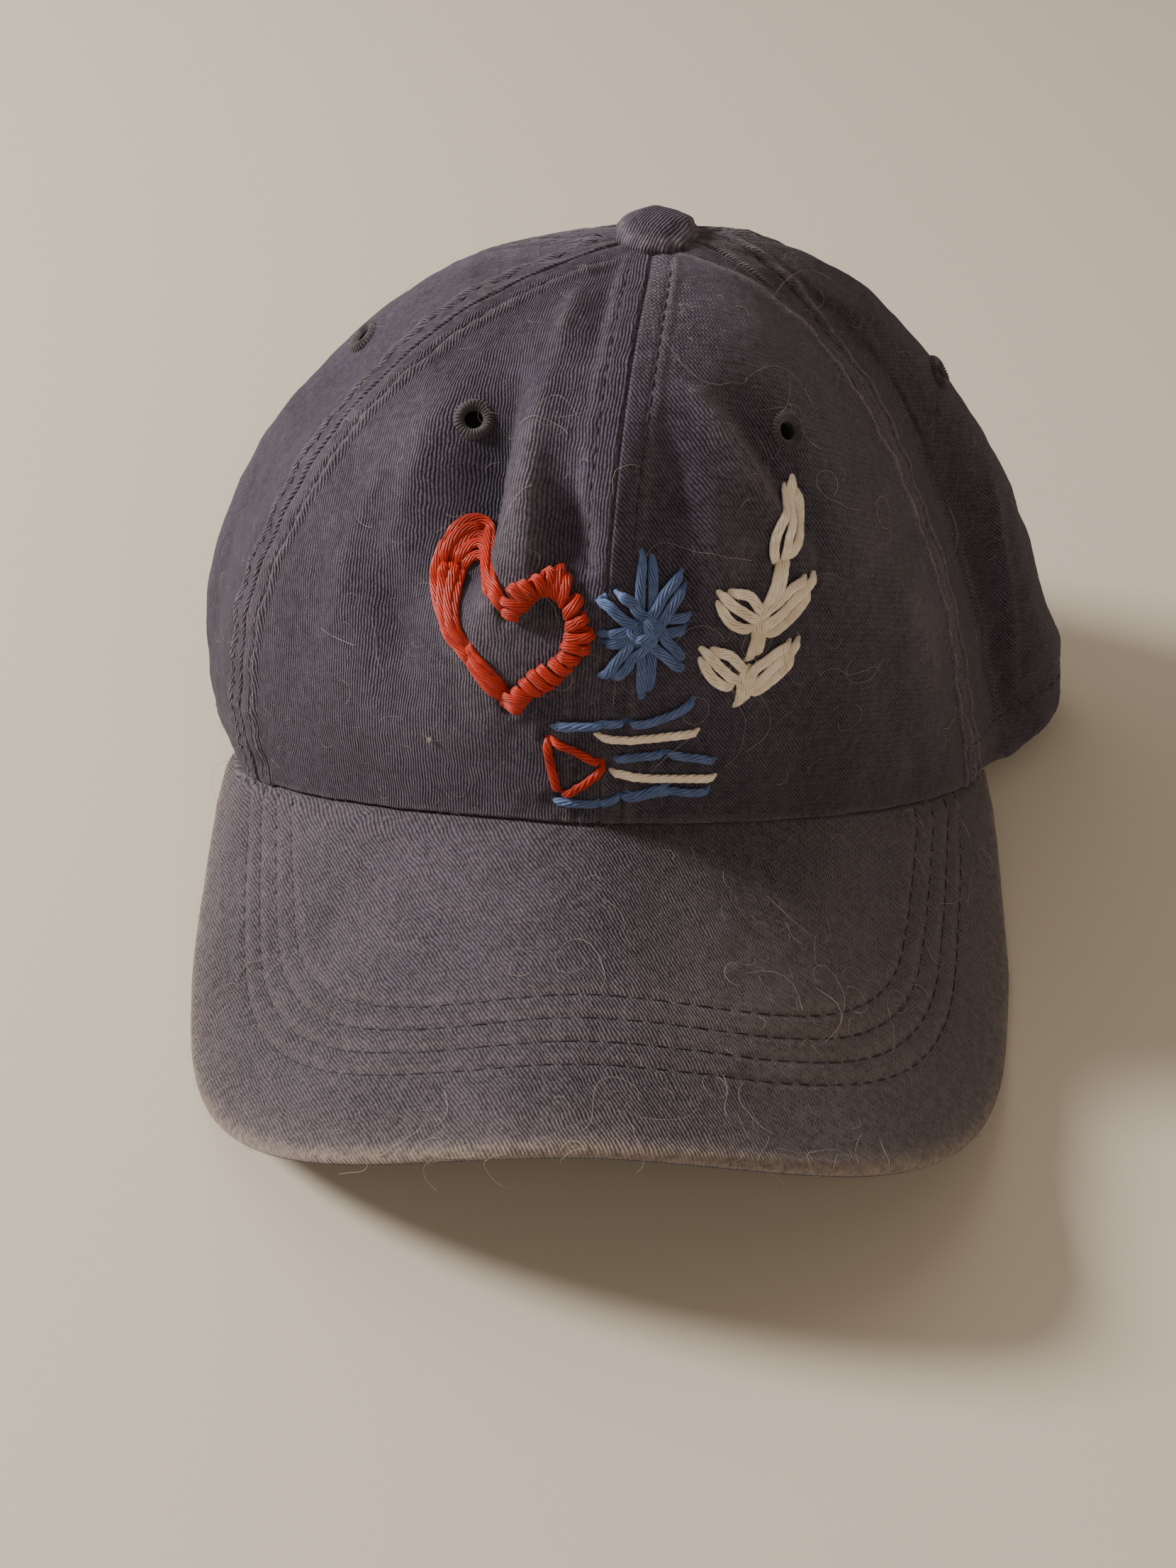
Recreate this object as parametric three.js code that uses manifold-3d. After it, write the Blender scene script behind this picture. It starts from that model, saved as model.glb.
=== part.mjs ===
// Soft six-panel cap with a curved brim, in millimetres.
// +Z is up, -Y is the brim's side, +X is the wearer's left, which is the right in a view from the front.
// The cap stands by itself: the two low corners of the brim and the rear rim touch the ground plane z = 0.
import * as THREE from 'three';
import { mergeVertices } from 'three/addons/utils/BufferGeometryUtils.js';
import Module from 'manifold-3d';

const wasm = await Module();
wasm.setup();

// Rim of the crown, measured from the rim's centre
const rimHalfWidthLeft = 90;
const rimHalfWidthRight = 91;
const rimFrontDepth = 80;
const rimRearDepth = 79;
const rimFrontRoundness = 1.22;
const rimRearRoundness = 1.08;
const rimFrontHeight = 57;
const rimSideHeight = 6.5;
const rimRestAzimuth = 135;
const rimArchPower = 1.45;

// Top of the crown
const crownHeight = 137;
const apexRight = 9;
const apexBack = 7;

// Cloth
const clothWall = 1.5;
const seamGap = 0.3;
const seatGap = 0.35;

// Brim
const brimHalfWidth = 87.4;
const brimReach = 71.7;
const brimEndBack = -8;
const brimFrontHeight = 43.7;
const brimSideHeight = 1.2;
const brimEndHeight = 7.4;
const brimHalfPeriod = 122;
const brimWall = 3.2;
const brimTuck = 5;
const brimSideRoundness = 0.864;
const brimFrontRoundness = 0.464;
const brimFanPower = 1.5;

// Button, eyelets
const buttonRadius = 8.4;
const buttonHeight = 4.4;
const buttonHole = 4;
const buttonFootShare = 0.8;
const buttonSideShare = 0.28;
const eyeletHoleRadius = 1.9;
const eyeletRadius = 3.9;
const eyeletHeight = 1.1;
const eyeletShoulderHeight = 0.77;
const eyeletOuterEase = 0.3;
const eyeletInnerEase = 0.2;
const eyeletGap = 0.45;

// Rear opening, strap and its slide
const archHalfAngle = 29;
const archHeight = 44;
const strapWidth = 20;
const strapWall = 1.3;
const strapOverlap = 11;
const slideLength = 11;
const slideWall = 1.5;
const strapGap = 0.5;
const strapLift = slideWall + 3 * seatGap;

// Panels: the azimuth of each panel's two seams, 0 at the front and growing to the wearer's left
const panels = [
  { name: 'front_panel_right', from: 0, to: 70, columns: 14 },
  { name: 'side_panel_right', from: 70, to: 126, columns: 14 },
  { name: 'back_panel_right', from: 126, to: 180, columns: 12 },
  { name: 'back_panel_left', from: 180, to: 236, columns: 12 },
  { name: 'side_panel_left', from: 236, to: 300, columns: 12 },
  { name: 'front_panel_left', from: 300, to: 360, columns: 13 },
];
const panelRows = 14;
const backPanelEvenColumns = 5;

// Facets of the other pieces
const edgeSteps = 400;
const brimColumns = 46;
const brimOuts = [-1, 0, 0.12, 0.3, 0.5, 0.7, 0.86, 1];
const buttonSteps = 6;
const buttonSides = 24;
const eyeletSides = 12;
const strapColumns = 24;

// Profile of the crown at its four sides: how square the plan and the height run, and how far the wall swells
const profiles = {
  front: { plan: 0.60, rise: 0.86, swell: 0 },
  right: { plan: 0.82, rise: 1.70, swell: 0.01 },
  rear: { plan: 1.36, rise: 1.03, swell: 0.04 },
  left: { plan: 0.88, rise: 0.99, swell: 0.07 },
};

// Power that sets how low on the wall the swell has its crest: 1 is half way up
const swellCrest = 0.55;

// Where the rim's plan leaves its oval: azimuth, spread in degrees, push as a share of the rim's radius
const rimSwells = [
  { azimuth: 109, spread: 16, push: 0.25 },
  { azimuth: 78, spread: 16, push: -0.05 },
  { azimuth: -80, spread: 16, push: -0.035 },
];

// Share of the level over which folds die out at the rim and at the apex
const foldFadeAtRim = 0.08;
const foldFadeAtApex = 0.1;

// Levels between which the crown's slope is measured, and the share below which its wall turns upright
const slopeStep = 0.01;
const slopeLowest = 0.002;
const slopeHighest = 0.985;
const aroundLowest = 0.012;
const aroundHighest = 0.975;
const uprightShare = 0.12;

// Folds of the cloth: azimuth and level of the middle, their spreads, and the push outwards in walls of cloth
const folds = [
  { azimuth: -33, level: 0.36, across: 5.5, along: 0.17, push: -1.9 },
  { azimuth: -20, level: 0.36, across: 5.0, along: 0.16, push: 1.2 },
  { azimuth: -10, level: 0.44, across: 4.0, along: 0.08, push: -1.6 },
  { azimuth: 10, level: 0.50, across: 5.0, along: 0.15, push: -1.7 },
  { azimuth: 20, level: 0.46, across: 5.0, along: 0.13, push: 1.1 },
  { azimuth: -48, level: 0.20, across: 5.0, along: 0.16, push: -1.0 },
  { azimuth: 91, level: 0.30, across: 6.5, along: 0.25, push: -3.0 },
  { azimuth: 166, level: 0.52, across: 9, along: 0.18, push: -2.0 },
  { azimuth: -132, level: 0.46, across: 10, along: 0.20, push: -2.2 },
  { azimuth: -76, level: 0.42, across: 8, along: 0.16, push: -1.2 },
];

const degree = Math.PI / 180;

function bell(distance, spread) {
  return Math.exp(-((distance / spread) ** 2));
}

function smooth(share) {
  const s = Math.min(Math.max(share, 0), 1);
  return s * s * (3 - 2 * s);
}

// Difference of two azimuths in degrees, from -180 to 180
function turnBetween(azimuth, other) {
  return ((azimuth - other + 540) % 360 + 360) % 360 - 180;
}

function signedPower(value, power) {
  return Math.sign(value) * Math.abs(value) ** power;
}

// Blend of the four profiles at an azimuth
function profileAt(azimuth, key) {
  const c = Math.cos(azimuth * degree);
  const s = Math.sin(azimuth * degree);
  const lengthwise = c > 0 ? profiles.front[key] : profiles.rear[key];
  const sideways = s > 0 ? profiles.right[key] : profiles.left[key];
  return lengthwise * c * c + sideways * s * s;
}

// Height of the rim: high over the brim, level with the ground at the rear
function rimHeight(azimuth) {
  const c = Math.cos(azimuth * degree);
  if (c > 0) return rimSideHeight + (rimFrontHeight - rimSideHeight) * c ** rimArchPower;
  const turned = Math.abs(turnBetween(azimuth, 0));
  return rimSideHeight * smooth((rimRestAzimuth - turned) / (rimRestAzimuth - 90));
}

function rimPoint(azimuth) {
  const c = Math.cos(azimuth * degree);
  const s = Math.sin(azimuth * degree);
  let push = 1;
  for (const swell of rimSwells) push += swell.push * bell(turnBetween(azimuth, swell.azimuth), swell.spread);
  const halfWidth = s > 0 ? rimHalfWidthRight : rimHalfWidthLeft;
  const depth = c > 0 ? rimFrontDepth : rimRearDepth;
  const roundness = c > 0 ? rimFrontRoundness : rimRearRoundness;
  return new THREE.Vector3(
    push * halfWidth * signedPower(s, roundness),
    -push * depth * signedPower(c, roundness),
    rimHeight(azimuth),
  );
}

// Outer surface of the crown without its folds: level 0 at the rim, 1 at the apex
function crownBase(azimuth, level) {
  const angle = level * Math.PI / 2;
  const rim = rimPoint(azimuth);
  const spread = Math.cos(angle) ** profileAt(azimuth, 'plan');
  const rise = Math.sin(angle) ** profileAt(azimuth, 'rise');
  const swell = 1 + profileAt(azimuth, 'swell') * Math.sin(Math.PI * level ** swellCrest) ** 2;
  return new THREE.Vector3(
    apexRight + (rim.x - apexRight) * spread * swell,
    apexBack + (rim.y - apexBack) * spread * swell,
    rim.z + (crownHeight - rim.z) * rise,
  );
}

function foldPush(azimuth, level) {
  let push = 0;
  for (const fold of folds) {
    push += fold.push * bell(turnBetween(azimuth, fold.azimuth), fold.across) * bell(level - fold.level, fold.along);
  }
  return push * clothWall * smooth(level / foldFadeAtRim) * smooth((1 - level) / foldFadeAtApex);
}

// Direction round the crown, towards growing azimuth
function crownAround(azimuth, level) {
  const middle = Math.min(Math.max(level, aroundLowest), aroundHighest);
  return crownBase(azimuth + 0.5, middle).sub(crownBase(azimuth - 0.5, middle)).normalize();
}

// Outward direction of the crown, turned level at the rim so that the rim's edge is level too
function crownNormal(azimuth, level) {
  const low = Math.max(level - slopeStep, slopeLowest);
  const high = Math.min(level + slopeStep, slopeHighest);
  const up = crownBase(azimuth, high).sub(crownBase(azimuth, low));
  const normal = crownAround(azimuth, level).cross(up).normalize();
  normal.z *= smooth(level / uprightShare);
  return normal.normalize();
}

// Point of the crown, a depth below its outer surface
function crownPoint(azimuth, level, depth) {
  const normal = crownNormal(azimuth, level);
  return crownBase(azimuth, level).addScaledVector(normal, foldPush(azimuth, level) - depth);
}

// Level at which the crown's plan has come within a radius of the apex
function levelAtRadius(azimuth, radius) {
  const rim = rimPoint(azimuth);
  const reach = Math.hypot(rim.x - apexRight, rim.y - apexBack);
  return Math.acos((radius / reach) ** (1 / profileAt(azimuth, 'plan'))) / (Math.PI / 2);
}

// Level at which the crown has risen to a height
function levelAtHeight(azimuth, height) {
  const rim = rimHeight(azimuth);
  const share = Math.max((height - rim) / (crownHeight - rim), 0);
  return Math.asin(share ** (1 / profileAt(azimuth, 'rise'))) / (Math.PI / 2);
}

// Lower end of the cloth: the rim, or the half-moon opening at the rear
function lowestLevel(azimuth) {
  const across = Math.abs(turnBetween(azimuth, 180)) / archHalfAngle;
  if (across >= 1) return 0;
  return levelAtHeight(azimuth, archHeight * Math.sqrt(1 - across * across));
}

// Closed body from a grid of outer points and a grid of inner points with the same rows and columns
function shellFromGrids(outer, inner) {
  const rows = outer.length;
  const columns = outer[0].length;
  const positions = [];
  for (const grid of [outer, inner]) for (const row of grid) for (const p of row) positions.push(p.x, p.y, p.z);
  const indices = [];
  const index = (side, row, column) => side * rows * columns + row * columns + column;
  const quad = (a, b, c, d) => indices.push(a, b, c, a, c, d);
  for (let r = 0; r + 1 < rows; r += 1) {
    for (let c = 0; c + 1 < columns; c += 1) {
      quad(index(0, r, c), index(0, r, c + 1), index(0, r + 1, c + 1), index(0, r + 1, c));
      quad(index(1, r, c), index(1, r + 1, c), index(1, r + 1, c + 1), index(1, r, c + 1));
    }
    quad(index(1, r, 0), index(0, r, 0), index(0, r + 1, 0), index(1, r + 1, 0));
    const last = columns - 1;
    quad(index(0, r, last), index(1, r, last), index(1, r + 1, last), index(0, r + 1, last));
  }
  for (let c = 0; c + 1 < columns; c += 1) {
    const top = rows - 1;
    quad(index(1, 0, c), index(1, 0, c + 1), index(0, 0, c + 1), index(0, 0, c));
    quad(index(0, top, c), index(0, top, c + 1), index(1, top, c + 1), index(1, top, c));
  }
  const geometry = new THREE.BufferGeometry();
  geometry.setAttribute('position', new THREE.Float32BufferAttribute(positions, 3));
  geometry.setIndex(indices);
  return geometry;
}

function toManifold(geometry) {
  const bare = geometry.clone();
  bare.deleteAttribute('normal');
  bare.deleteAttribute('uv');
  const merged = mergeVertices(bare, 1e-4);
  return new wasm.Manifold(new wasm.Mesh({
    numProp: 3,
    vertProperties: new Float32Array(merged.attributes.position.array),
    triVerts: new Uint32Array(merged.index.array),
  }));
}

function fromManifold(solid) {
  const mesh = solid.getMesh();
  const geometry = new THREE.BufferGeometry();
  geometry.setAttribute('position', new THREE.BufferAttribute(mesh.vertProperties, 3));
  geometry.setIndex(new THREE.BufferAttribute(mesh.triVerts, 1));
  return geometry;
}

// Azimuths of a panel's columns: even, but closing up on the foot of the rear opening
function panelAzimuths(panel) {
  const foot = panel.from < 180 ? 180 - archHalfAngle : 180 + archHalfAngle;
  const azimuths = [];
  const isBack = panel.from === 180 || panel.to === 180;
  const even = isBack ? backPanelEvenColumns : panel.columns;
  const start = panel.from === 180 ? foot : panel.from;
  const end = panel.to === 180 ? foot : panel.to;
  for (let i = 0; i <= even; i += 1) azimuths.push(start + (end - start) * i / even);
  if (!isBack) return azimuths;
  const arch = panel.columns - even;
  for (let i = 1; i <= arch; i += 1) {
    const turn = archHalfAngle * (1 - Math.cos(i / arch * Math.PI / 2));
    if (panel.to === 180) azimuths.push(foot + turn);
    else azimuths.unshift(foot - turn);
  }
  return azimuths;
}

// One panel of the crown: its seam edges are drawn in by half the seam gap
function makePanel(panel) {
  const azimuths = panelAzimuths(panel);
  const grids = [[], []];
  for (let r = 0; r <= panelRows; r += 1) {
    for (const side of [0, 1]) grids[side].push([]);
    azimuths.forEach((azimuth, column) => {
      const low = lowestLevel(azimuth);
      const top = levelAtRadius(azimuth, buttonHole);
      const level = low + (top - low) * r / panelRows;
      let drawIn = 0;
      if (column === 0) drawIn = seamGap / 2;
      if (column === azimuths.length - 1) drawIn = -seamGap / 2;
      const around = crownAround(azimuth, level);
      grids[0][r].push(crownPoint(azimuth, level, 0).addScaledVector(around, drawIn));
      grids[1][r].push(crownPoint(azimuth, level, clothWall).addScaledVector(around, drawIn));
    });
  }
  return shellFromGrids(grids[0], grids[1]);
}

// Arc lengths along a list of points, starting at 0
function runningLengths(points) {
  const lengths = [0];
  for (let i = 1; i < points.length; i += 1) {
    lengths.push(lengths[i - 1] + Math.hypot(points[i].x - points[i - 1].x, points[i].y - points[i - 1].y));
  }
  return lengths;
}

// Outer edge of the brim, from one rear end round the front to the other, as the middle of its wall
function brimEdge() {
  const frontY = -rimFrontDepth - brimReach;
  const points = [];
  for (let i = 0; i <= edgeSteps; i += 1) {
    const angle = (i / edgeSteps - 0.5) * Math.PI;
    points.push(new THREE.Vector3(
      brimHalfWidth * signedPower(Math.sin(angle), brimSideRoundness),
      brimEndBack - (brimEndBack - frontY) * Math.abs(Math.cos(angle)) ** brimFrontRoundness,
      0,
    ));
  }
  const lengths = runningLengths(points);
  const half = lengths[edgeSteps] / 2;
  points.forEach((point, i) => {
    const away = Math.abs(lengths[i] - half);
    const wave = (1 + Math.cos(Math.PI * Math.min(away / brimHalfPeriod, 1))) / 2;
    const lift = smooth((away - brimHalfPeriod) / (half - brimHalfPeriod));
    point.z = brimSideHeight + (brimFrontHeight - brimSideHeight) * wave;
    point.z += (brimEndHeight - brimSideHeight) * lift;
  });
  return { points, lengths };
}

const edge = brimEdge();

// Point of the outer edge at a share from -1 at the left end to 1 at the right end
function edgePoint(share) {
  const target = (share + 1) / 2 * edge.lengths[edge.lengths.length - 1];
  let i = 1;
  while (i < edge.lengths.length - 1 && edge.lengths[i] < target) i += 1;
  const span = edge.lengths[i] - edge.lengths[i - 1];
  return edge.points[i - 1].clone().lerp(edge.points[i], (target - edge.lengths[i - 1]) / span);
}

// Azimuth where the rim meets the brim's rear end, on either side
function endAzimuth(side) {
  let azimuth = 60;
  while (rimPoint(side * azimuth).y < brimEndBack) azimuth += 0.25;
  return side * azimuth;
}

const brimEnds = { left: endAzimuth(-1), right: endAzimuth(1) };

// Middle surface of the brim: across from -1 to 1, out from 0 at the crown to 1 at the edge
function brimMiddle(across, out) {
  const end = across < 0 ? -brimEnds.left : brimEnds.right;
  const rim = rimPoint(end * signedPower(across, brimFanPower));
  rim.z -= seatGap + brimWall / 2;
  const outer = edgePoint(across);
  if (out >= 0) return rim.lerp(outer, out);
  const inward = new THREE.Vector3(rim.x - outer.x, rim.y - outer.y, 0).normalize();
  return rim.addScaledVector(inward, -out * brimTuck);
}

// Upward direction of the brim, turned upright where it meets the crown
function brimNormal(across, out) {
  const step = 0.02;
  const upright = new THREE.Vector3(0, 0, 1);
  const a = Math.max(across - step, -1);
  const b = Math.min(across + step, 1);
  const o = Math.max(out, 0.05);
  const sideways = brimMiddle(b, o).sub(brimMiddle(a, o));
  const outwards = brimMiddle(across, Math.min(o + step, 1)).sub(brimMiddle(across, o - step));
  const normal = outwards.cross(sideways).normalize();
  if (out <= 0) return upright;
  return normal.lerp(upright, 1 - smooth(out / 0.1)).normalize();
}

function makeBrim() {
  const grids = [[], []];
  for (const out of brimOuts) {
    for (const side of [0, 1]) grids[side].push([]);
    for (let c = 0; c <= brimColumns; c += 1) {
      const across = 1 - 2 * c / brimColumns;
      const middle = brimMiddle(across, out);
      const normal = brimNormal(across, out);
      grids[0][grids[0].length - 1].push(middle.clone().addScaledVector(normal, brimWall / 2));
      grids[1][grids[1].length - 1].push(middle.clone().addScaledVector(normal, -brimWall / 2));
    }
  }
  return shellFromGrids(grids[0], grids[1]);
}

// Round body from a profile of radius and height, standing on a seat point along a direction
function turnedBody(profile, sides, seat, direction) {
  const geometry = new THREE.LatheGeometry(profile.map(([r, h]) => new THREE.Vector2(r, h)), sides);
  const turn = new THREE.Quaternion().setFromUnitVectors(new THREE.Vector3(0, 1, 0), direction);
  geometry.applyQuaternion(turn);
  geometry.translate(seat.x, seat.y, seat.z);
  geometry.deleteAttribute('normal');
  geometry.deleteAttribute('uv');
  return mergeVertices(geometry, 1e-4);
}

// Dome of the button, with a flat foot that seats on the panels' tips
function makeButton() {
  const profile = [[0, 0]];
  profile.push([buttonRadius * buttonFootShare, 0]);
  for (let i = 0; i < buttonSteps; i += 1) {
    const angle = i / buttonSteps * Math.PI / 2;
    const rise = buttonSideShare + (1 - buttonSideShare) * Math.sin(angle);
    profile.push([buttonRadius * Math.cos(angle), buttonHeight * rise]);
  }
  profile.push([0, buttonHeight]);
  const seat = new THREE.Vector3(apexRight, apexBack, crownHeight + seatGap);
  return turnedBody(profile, buttonSides, seat, new THREE.Vector3(0, 0, 1));
}

// Eyelets: one in the middle of each panel, high on the crown
const eyelets = [
  { name: 'eyelet_front_left', panel: 'front_panel_left', azimuth: -35, level: 0.645 },
  { name: 'eyelet_front_right', panel: 'front_panel_right', azimuth: 36.5, level: 0.645 },
  { name: 'eyelet_side_left', panel: 'side_panel_left', azimuth: -93, level: 0.62 },
  { name: 'eyelet_side_right', panel: 'side_panel_right', azimuth: 104, level: 0.62 },
  { name: 'eyelet_back_left', panel: 'back_panel_left', azimuth: -150, level: 0.66 },
  { name: 'eyelet_back_right', panel: 'back_panel_right', azimuth: 150, level: 0.66 },
];

function makeEyelet(eyelet) {
  const seat = crownPoint(eyelet.azimuth, eyelet.level, -eyeletGap);
  const direction = crownNormal(eyelet.azimuth, eyelet.level);
  const profile = [
    [eyeletHoleRadius, 0],
    [eyeletRadius, 0],
    [eyeletRadius - eyeletOuterEase, eyeletShoulderHeight],
    [(eyeletHoleRadius + eyeletRadius) / 2, eyeletHeight],
    [eyeletHoleRadius + eyeletInnerEase, eyeletShoulderHeight],
    [eyeletHoleRadius, 0],
  ];
  return turnedBody(profile, eyeletSides, seat, direction);
}

// Drill through the cloth under an eyelet
function eyeletDrill(eyelet) {
  const depth = clothWall * 3;
  const seat = crownPoint(eyelet.azimuth, eyelet.level, depth);
  const direction = crownNormal(eyelet.azimuth, eyelet.level);
  const profile = [[0, 0], [eyeletHoleRadius, 0], [eyeletHoleRadius, 2 * depth], [0, 2 * depth]];
  return turnedBody(profile, eyeletSides, seat, direction);
}

// Strap inside the rear wall, from one side of the opening to the other
function makeStrap() {
  const reach = archHalfAngle + strapOverlap;
  const grids = [[], []];
  for (const share of [0, 0.5, 1]) {
    for (const side of [0, 1]) grids[side].push([]);
    for (let c = 0; c <= strapColumns; c += 1) {
      const azimuth = 180 + reach * (2 * c / strapColumns - 1);
      const level = levelAtHeight(azimuth, strapLift + strapWidth * share);
      const outerDepth = clothWall + strapGap;
      grids[0][grids[0].length - 1].push(crownPoint(azimuth, level, outerDepth));
      grids[1][grids[1].length - 1].push(crownPoint(azimuth, level, outerDepth + strapWall));
    }
  }
  return shellFromGrids(grids[0], grids[1]);
}

// Slide: a flat sleeve round the strap, in the middle of the opening
function makeSlide() {
  const level = levelAtHeight(180, strapLift + strapWidth / 2);
  const middle = crownPoint(180, level, clothWall + strapGap + strapWall / 2);
  const clearance = seatGap * 2;
  const innerHeight = strapWidth + 2 * seatGap;
  const innerDepth = strapWall + 2 * clearance;
  const outline = new THREE.Shape();
  rectangle(outline, innerDepth + 2 * slideWall, innerHeight + 2 * slideWall);
  const hole = new THREE.Path();
  rectangle(hole, innerDepth, innerHeight);
  outline.holes.push(hole);
  const geometry = new THREE.ExtrudeGeometry(outline, { depth: slideLength, bevelEnabled: false });
  geometry.translate(0, 0, -slideLength / 2);
  const outwards = crownNormal(180, level);
  const along = outwards.clone().cross(new THREE.Vector3(0, 0, 1)).normalize();
  const up = along.clone().cross(outwards);
  geometry.applyMatrix4(new THREE.Matrix4().makeBasis(outwards, up, along));
  geometry.translate(middle.x, middle.y, middle.z);
  return geometry;
}

function rectangle(path, width, height) {
  path.moveTo(-width / 2, -height / 2);
  path.lineTo(width / 2, -height / 2);
  path.lineTo(width / 2, height / 2);
  path.lineTo(-width / 2, height / 2);
  path.closePath();
}

// Finishes
const finishes = {
  cloth: { color: 0x4d5064, roughness: 0.95, metalness: 0 },
  brimCloth: { color: 0x4a4c60, roughness: 0.95, metalness: 0 },
  thread: { color: 0x50546a, roughness: 0.85, metalness: 0 },
  metal: { color: 0x9a958c, roughness: 0.4, metalness: 0.9 },
};

const group = new THREE.Group();

function addPiece(name, geometry, finish) {
  const piece = new THREE.Mesh(geometry, new THREE.MeshStandardMaterial(finishes[finish]));
  piece.name = name;
  group.add(piece);
}

for (const panel of panels) {
  let solid = toManifold(makePanel(panel));
  for (const eyelet of eyelets) {
    if (eyelet.panel === panel.name) solid = solid.subtract(toManifold(eyeletDrill(eyelet)));
  }
  addPiece(panel.name, fromManifold(solid), 'cloth');
}
for (const eyelet of eyelets) addPiece(eyelet.name, makeEyelet(eyelet), 'thread');
addPiece('brim', makeBrim(), 'brimCloth');
addPiece('top_button', makeButton(), 'cloth');
addPiece('rear_strap', makeStrap(), 'cloth');
addPiece('strap_buckle', makeSlide(), 'metal');

// The origin is under the middle of the whole cap, on the ground
const bounds = new THREE.Box3().setFromObject(group);
const centre = bounds.getCenter(new THREE.Vector3());
group.position.set(-centre.x, -centre.y, -bounds.min.z);
group.updateMatrixWorld(true);

export default group;
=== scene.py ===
"""Looks of a soft six-panel cap: washed twill, topstitching, stitched eyelets and floss embroidery.

Sizes are in millimetres until a mesh is made, and repeat the named sizes of the part's source.
The crown is worked out by azimuth, 0 at the front and growing to the right in a front view,
and by level, 0 at the rim and 1 at the apex.
"""
import math

import bpy
import numpy as np
from mathutils import Matrix, Vector
from mathutils.bvhtree import BVHTree


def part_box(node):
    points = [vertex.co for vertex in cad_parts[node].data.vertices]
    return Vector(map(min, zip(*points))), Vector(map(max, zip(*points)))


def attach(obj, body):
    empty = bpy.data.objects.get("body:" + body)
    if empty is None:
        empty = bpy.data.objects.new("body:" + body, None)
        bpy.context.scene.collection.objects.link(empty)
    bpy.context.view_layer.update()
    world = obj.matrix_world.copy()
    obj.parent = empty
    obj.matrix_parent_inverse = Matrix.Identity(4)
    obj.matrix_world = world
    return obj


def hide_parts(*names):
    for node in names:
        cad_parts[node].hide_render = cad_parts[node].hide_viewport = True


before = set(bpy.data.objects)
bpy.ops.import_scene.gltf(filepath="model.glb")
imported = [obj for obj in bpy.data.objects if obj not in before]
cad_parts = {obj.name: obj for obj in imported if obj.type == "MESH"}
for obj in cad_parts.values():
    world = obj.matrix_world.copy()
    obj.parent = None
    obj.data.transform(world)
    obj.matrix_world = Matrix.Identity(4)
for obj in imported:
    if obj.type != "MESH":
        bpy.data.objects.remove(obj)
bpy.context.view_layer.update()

MM = 0.001
DEGREE = math.pi / 180

# Crown
RIM_HALF_WIDTH_LEFT = 90.0
RIM_HALF_WIDTH_RIGHT = 91.0
RIM_FRONT_DEPTH = 80.0
RIM_REAR_DEPTH = 79.0
RIM_FRONT_ROUNDNESS = 1.22
RIM_REAR_ROUNDNESS = 1.08
RIM_FRONT_HEIGHT = 57.0
RIM_SIDE_HEIGHT = 6.5
RIM_REST_AZIMUTH = 135.0
RIM_ARCH_POWER = 1.45
CROWN_HEIGHT = 137.0
APEX_RIGHT = 9.0
APEX_BACK = 7.0
CLOTH_WALL = 1.5
SWELL_CREST = 0.55
BUTTON_HOLE = 4.0

# Brim
BRIM_HALF_WIDTH = 87.4
BRIM_REACH = 71.7
BRIM_END_BACK = -8.0
BRIM_FRONT_HEIGHT = 43.7
BRIM_SIDE_HEIGHT = 1.2
BRIM_END_HEIGHT = 7.4
BRIM_HALF_PERIOD = 122.0
BRIM_SIDE_ROUNDNESS = 0.864
BRIM_FRONT_ROUNDNESS = 0.464
BRIM_FAN_POWER = 1.5
BRIM_ARCH_CURVE = 0.0062
BRIM_WALL = 3.2
BRIM_TUCK = 5.0
SEAT_GAP = 0.35

# Button and eyelets
BUTTON_RADIUS = 8.4
BUTTON_HEIGHT = 4.4
BUTTON_GATHERS = 13
EYELET_HOLE = 1.9
EYELET_RADIUS = 3.9
EYELET_SEAT = 0.15
EYELET_BED_HEIGHT = 0.45
EYELET_BED_SHARE = 0.80
EYELET_STITCH_SEAT = 0.35

# Rear opening and strap
ARCH_HALF_ANGLE = 29.0
ARCH_HEIGHT = 44.0
STRAP_WIDTH = 20.0
STRAP_WALL = 1.3
STRAP_GAP = 0.5
STRAP_LIFT = 2.4
STRAP_OVERLAP = 11.0
STRAP_STITCH_INSET = 2.2
SLIDE_LENGTH = 11.0
SLIDE_WALL = 1.5
SLIDE_EASE = 0.35
BOX_STITCH_INSET = 2.0
BOX_STITCH_NEAR = 2.6
BOX_STITCH_FAR = 1.4

# Grids of the cloth walls, as (columns, rows)
FRONT_GRID = (168, 184)
SIDE_GRID = (98, 142)
BRIM_GRID = (252, 116)
STRAP_GRID = (130, 26)
BUTTON_GRID = (120, 40)

# Stitching
STITCH_PITCH = 3.6
STITCH_LENGTH = 2.9
THREAD_RADIUS = 0.18
SEAM_STITCH_INSET = 4.6
SEAM_WELT_WIDTH = 6.2
HEM_STITCH_INSET = 11.0
BRIM_ROW_INSETS = (18.4, 23.3, 28.4, 33.5)
BRIM_STITCH_PITCH = 4.2
BRIM_STITCH = dict(Pitch=BRIM_STITCH_PITCH * MM, Stitch_Length=3.3 * MM, Lift=0.34 * MM)
STRAP_STITCH = dict(Pitch=2.9 * MM, Stitch_Length=2.3 * MM, Lift=0.45 * MM)
EYELET_STITCH = dict(Pitch=0.60 * MM, Stitch_Length=1.9 * MM, Lift=1.2 * MM, Thread_Radius=0.26 * MM,
                     Turn=math.pi / 2)

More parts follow.
